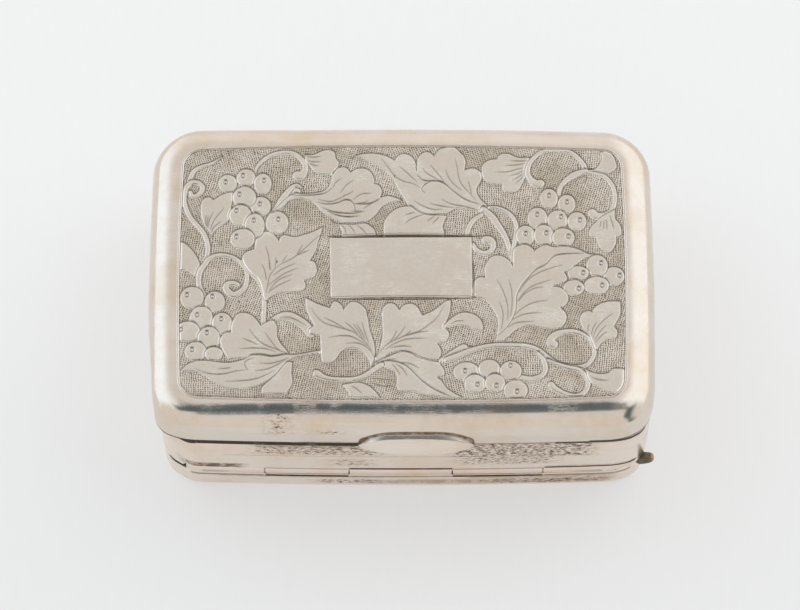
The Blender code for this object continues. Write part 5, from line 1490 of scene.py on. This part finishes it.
# Top grid, then the same border lower down, closed by a fan round the middle of the underside.
# Normals of the top come from the whole relief, so that the tiles meet without a seam.
def makeTile(name, top, normal, attributes):
    rows, columns = top.shape[:2]
    index = np.arange(rows * columns).reshape(rows, columns)
    border = np.concatenate([index[0, :-1], index[:-1, -1], index[-1, :0:-1], index[:0:-1, 0]])
    flat = top.reshape(-1, 3)
    low = flat[border].copy()
    low[:, 2] = box["top"] - plate["thickness"]
    points = np.concatenate([flat, low, [low.mean(0)]])
    ring = len(flat) + np.arange(len(border))
    onward = np.roll(ring, -1)
    faces = gridFaces(rows, columns)
    sides = np.stack([border, ring, onward, np.roll(border, -1)], axis=1)
    under = np.stack([onward, ring, np.full(len(ring), len(points) - 1)], axis=1)
    marks = [np.zeros(len(faces)), np.zeros(len(sides)), np.ones(len(under))]
    mesh = buildMesh(name, points, [faces, sides, under], "lid", "engraved_silver", [plateSilver, giltInside],
                     ["lid_plate"], marks).data
    for key, value in attributes.items():
        values = np.concatenate([value.ravel(), value.ravel()[border], [0.0]])
        mesh.attributes.new(key, "FLOAT", "POINT").data.foreach_set("value", values.astype(np.float32))
    cornerPoints = np.zeros(len(mesh.loops), np.int32)
    mesh.loops.foreach_get("vertex_index", cornerPoints)
    made = np.zeros(len(mesh.loops) * 3, np.float32)
    mesh.corner_normals.foreach_get("vector", made)
    made = made.reshape(-1, 3)
    topCorners = len(faces) * 4
    made[:topCorners] = normal.reshape(-1, 3)[cornerPoints[:topCorners]]
    made[topCorners + len(sides) * 4:] = (0, 0, -1)
    mesh.polygons.foreach_set("use_smooth", np.arange(len(mesh.polygons)) < len(faces))
    mesh.normals_split_custom_set(made.tolist())


makePlate()
print("plate made")


# The sponge

sponge = {
    "margin": 2.25, "low": 6.16, "high": 9.24, "edge": 0.7, "edgeShare": 0.03,
    "rough": 0.30, "squeeze": 0.012, "flat": (0.02, 0.955),     # the first and last loop of a flat side
    "grain": 0.55, "grainRatio": 2.3, "coarse": 0.6, "seeds": (3, 5), "closed": 0.05,
}


# Smooth random field: corner values of a lattice, blended by 3 t^2 - 2 t^3
def valueNoise(points, size, seed):
    lattice = np.random.default_rng(seed).random((64, 64, 64))
    scaled = points / size + 20
    cell = np.floor(scaled).astype(int)
    t = smoothStep(scaled - cell)
    total = 0
    for shift in np.ndindex(2, 2, 2):
        weight = np.where(shift, t, 1 - t).prod(-1)
        total = total + weight * lattice[tuple(np.moveaxis((cell + shift) % 64, -1, 0))]
    return total


# A soft block: rows of plan loops scaled from the middle, pitted by two sizes of value noise
def makeSponge():
    low, high, edge, narrow = sponge["low"], sponge["high"], sponge["edge"], sponge["edgeShare"]
    half = [(share, low) for share in np.linspace(*sponge["flat"], 44)]
    for a in np.linspace(0, math.pi / 2, 6):
        half.append((1 - narrow + narrow * math.sin(a), low + edge * (1 - math.cos(a))))
    profile = half + [(1.0, z) for z in np.linspace(low + edge, high - edge, 7)[1:-1]]
    profile += [(share, low + high - z) for share, z in half[::-1]]
    loop = planLoop(sponge["margin"])
    rows = np.array([np.column_stack([loop * share, np.full(len(loop), z)]) for share, z in profile])
    grain, (fineSeed, coarseSeed) = sponge["grain"], sponge["seeds"]
    pits = valueNoise(rows, grain, fineSeed) ** 2
    pits += sponge["coarse"] * valueNoise(rows, grain * sponge["grainRatio"], coarseSeed) ** 2
    inward = pits / pits.max()
    above = rows[..., 2] - (low + high) / 2
    rows[..., 2] -= np.sign(above) * sponge["rough"] * inward * np.clip(np.abs(above), 0, 1)
    rows[..., :2] *= 1 - sponge["squeeze"] * inward[..., None]
    under, over = (0, 0, low + sponge["closed"]), (0, 0, high - sponge["closed"])
    points, faces = capped(rows, under, over, turnedOver=True)
    piece = buildMesh("sponge_block", points, faces, "case", "sponge", [spongeFibre], ["sponge"])
    outward(piece)


makeSponge()
print("sponge made")

# Finishes of the CAD nodes that stay
finishes = {
    giltInside: ("divider_floor", "upper_bezel", "lower_bezel", "grille_ledge"),
    giltGrille: ("grille_plate", "grille_tab", "grille_knuckle", "ledge_knuckle_left", "ledge_knuckle_right"),
    dullSilver: ("lid_hinge_pin", "grille_hinge_pin"),
}
for material, names in finishes.items():
    for name in names:
        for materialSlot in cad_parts[name].material_slots:
            materialSlot.material = material


# Stage, light and camera

stage = {
    "size": 3.0, "floorColour": (0.90, 0.895, 0.885), "grainShare": (0.985, 0.985, 0.985),
    "paperColour": (0.875, 0.872, 0.864), "nearShare": (0.95, 0.95, 0.95), "farShare": (1.04, 1.04, 1.04),
    "shadeY": (-30.0, 26.0), "paperShare": 0.55,
}


# One flat pale sheet under the box. The camera and reflections see it mixed with glowing paper, lighter
# far away: a painted gradient of light.
def makeFloor():
    half, floorColour, paperColour = stage["size"] / 2, stage["floorColour"], stage["paperColour"]
    mesh = bpy.data.meshes.new("floor_sheet")
    corners = [(-half, -half, 0), (half, -half, 0), (half, half, 0), (-half, half, 0)]
    mesh.from_pydata(corners, [], [(0, 1, 2, 3)])
    floor = bpy.data.objects.new("floor_sheet", mesh)
    scene.collection.objects.link(floor)
    material, tree, shader = newMaterial("floor_paper", floorColour)
    place = millimetres(tree)
    grain = ramp(tree, noise(tree, mapped(tree, place, (1.6, 0.35, 1.0)), 1.0, 3.0, 0.6), 0.3, 0.7)
    floorTone = mixColour(tree, grain, floorColour, tinted(floorColour, stage["grainShare"]))
    put(tree, shader.inputs["Base Color"], floorTone)
    put(tree, shader.inputs["Roughness"], 0.9)
    put(tree, shader.inputs["Specular IOR Level"], 0.1)
    # Painted light: the paper is darker near the front and lighter far away
    depth = ramp(tree, axes(tree, place)[1], *stage["shadeY"])
    near, far = (tinted(paperColour, stage[key]) for key in ("nearShare", "farShare"))
    paperTone = mixColour(tree, depth, near, far)
    paper = add(tree, "ShaderNodeEmission", Color=paperTone, Strength=1.0)
    rays = tree.nodes.new("ShaderNodeLightPath").outputs
    seen = product(tree, largest(tree, rays["Is Camera Ray"], rays["Is Glossy Ray"]), stage["paperShare"])
    blend = add(tree, "ShaderNodeMixShader", Fac=seen, i1=shader.outputs[0], i2=paper.outputs[0])
    output = next(node for node in tree.nodes if node.type == "OUTPUT_MATERIAL")
    put(tree, output.inputs["Surface"], blend.outputs[0])
    mesh.materials.append(material)


# Directions are parts of a unit vector: x to the right, y to the rear, z up. The dark panel lies between two
# edges along x, and each step of an edge is side, from, to, shift before, shift after.
light = {
    "front": (0.84, 0.81, 0.78), "rear": (0.98, 0.96, 0.94), "top": (0.80, 0.79, 0.775),
    "left": (1.19, 1.33, 1.48), "right": (1.24, 1.29, 1.34),
    "rearY": (-0.1, 0.7), "topZ": (0.6, 0.85),
    "leftX": (0.14, 0.60), "rightX": (0.10, 0.45), "sideY": (-0.38, -0.06), "sideZ": (-0.02, 0.06),
    "dark": (0.10, 0.135, 0.155), "darkZ": (0.3, 0.4),
    "darkLeftX": (0.44, 0.56, 1.0, 0.0), "darkRightX": (0.56, 0.64, 1.0, 0.0),
    "lowEdge": (-0.02, 0.02), "lowShift": 0.45,
    "lowSteps": (("left", 0.02, 0.07, 0.0, -0.23), ("right", 0.02, 0.07, 0.0, -0.04),
                 ("left", 0.10, 0.42, 0.0, 0.06)),
    "highEdge": (0.11, 0.17, 1.0, 0.0),
    "highSteps": (("left", 0.10, 0.42, 0.0, 0.28), ("right", 0.0, 0.06, -0.06, 0.08),
                  ("right", 0.42, 0.58, 0.0, 0.20), ("right", 0.05, 0.40, 0.0, 0.14)),
    "darkFade": (0.04, 0.20, 1.0, 0.80), "hookX": (0.56, 0.76), "hookY": (-0.74, -0.32), "hookSoft": 0.04,
    "lampPower": 0.30, "lampSize": 0.5, "lampPlaces": ((-0.50, 0.20, 0.45), (0.50, 0.20, 0.45)),
}


# Pale sky by direction: brighter to the sides, one dark panel overhead between zenith and camera
def makeWorld():
    world = bpy.data.worlds.new("soft_sky")
    scene.world = world
    world.use_nodes = True
    tree = world.node_tree
    x, y, z = axes(tree, tree.nodes.new("ShaderNodeTexCoord").outputs["Generated"])
    sides = {"left": product(tree, x, -1.0), "right": x}
    above = product(tree, ramp(tree, z, *light["sideZ"]), ramp(tree, y, *light["sideY"]))
    sky = mixColour(tree, ramp(tree, y, *light["rearY"]), light["front"], light["rear"])
    sky = mixColour(tree, ramp(tree, z, *light["topZ"]), sky, light["top"])
    for side, way in sides.items():
        sky = mixColour(tree, product(tree, ramp(tree, way, *light[side + "X"]), above), sky, light[side])
    low, high = (total(tree, y, *(ramp(tree, sides[side], *step) for side, *step in light[key]))
                 for key in ("lowSteps", "highSteps"))
    low = total(tree, low, light["lowShift"])
    panel = product(tree, ramp(tree, sides["left"], *light["darkLeftX"]), ramp(tree, x, *light["darkRightX"]),
                    ramp(tree, low, *light["lowEdge"]), ramp(tree, high, *light["highEdge"]),
                    ramp(tree, z, *light["darkZ"]), ramp(tree, x, *light["darkFade"]))
    hook = product(tree, between(tree, x, *light["hookX"], light["hookSoft"]),
                   between(tree, y, *light["hookY"], light["hookSoft"]))
    sky = mixColour(tree, largest(tree, panel, hook), sky, light["dark"])
    put(tree, tree.nodes["Background"].inputs["Color"], sky)


# Two large soft disks, left and right, aimed at the box
def makeLamps():
    for side, place in zip(("left", "right"), light["lampPlaces"]):
        lamp = bpy.data.lights.new("soft_lamp_" + side, "AREA")
        lamp.shape = "DISK"
        lamp.size = light["lampSize"]
        lamp.energy = light["lampPower"]
        item = bpy.data.objects.new("soft_lamp_" + side, lamp)
        scene.collection.objects.link(item)
        item.location = place
        item.visible_glossy = False
        item.rotation_euler = (-Vector(place)).to_track_quat("-Z", "Y").to_euler()


# The photograph's camera, turned 90 degrees - elevation from straight down
def makeCamera():
    made = bpy.data.cameras.new("camera")
    made.lens = camera["focalLength"]
    made.sensor_width = camera["sensorWidth"]
    made.clip_start, made.clip_end = 0.01, 20.0
    item = bpy.data.objects.new("camera", made)
    scene.collection.objects.link(item)
    item.location = cameraPlace * millimetre
    item.rotation_euler = (math.pi / 2 - lift, 0, 0)
    scene.camera = item


makeFloor()
makeWorld()
makeLamps()
makeCamera()
scene.view_settings.view_transform = "Standard"
print("stage, light and camera made")
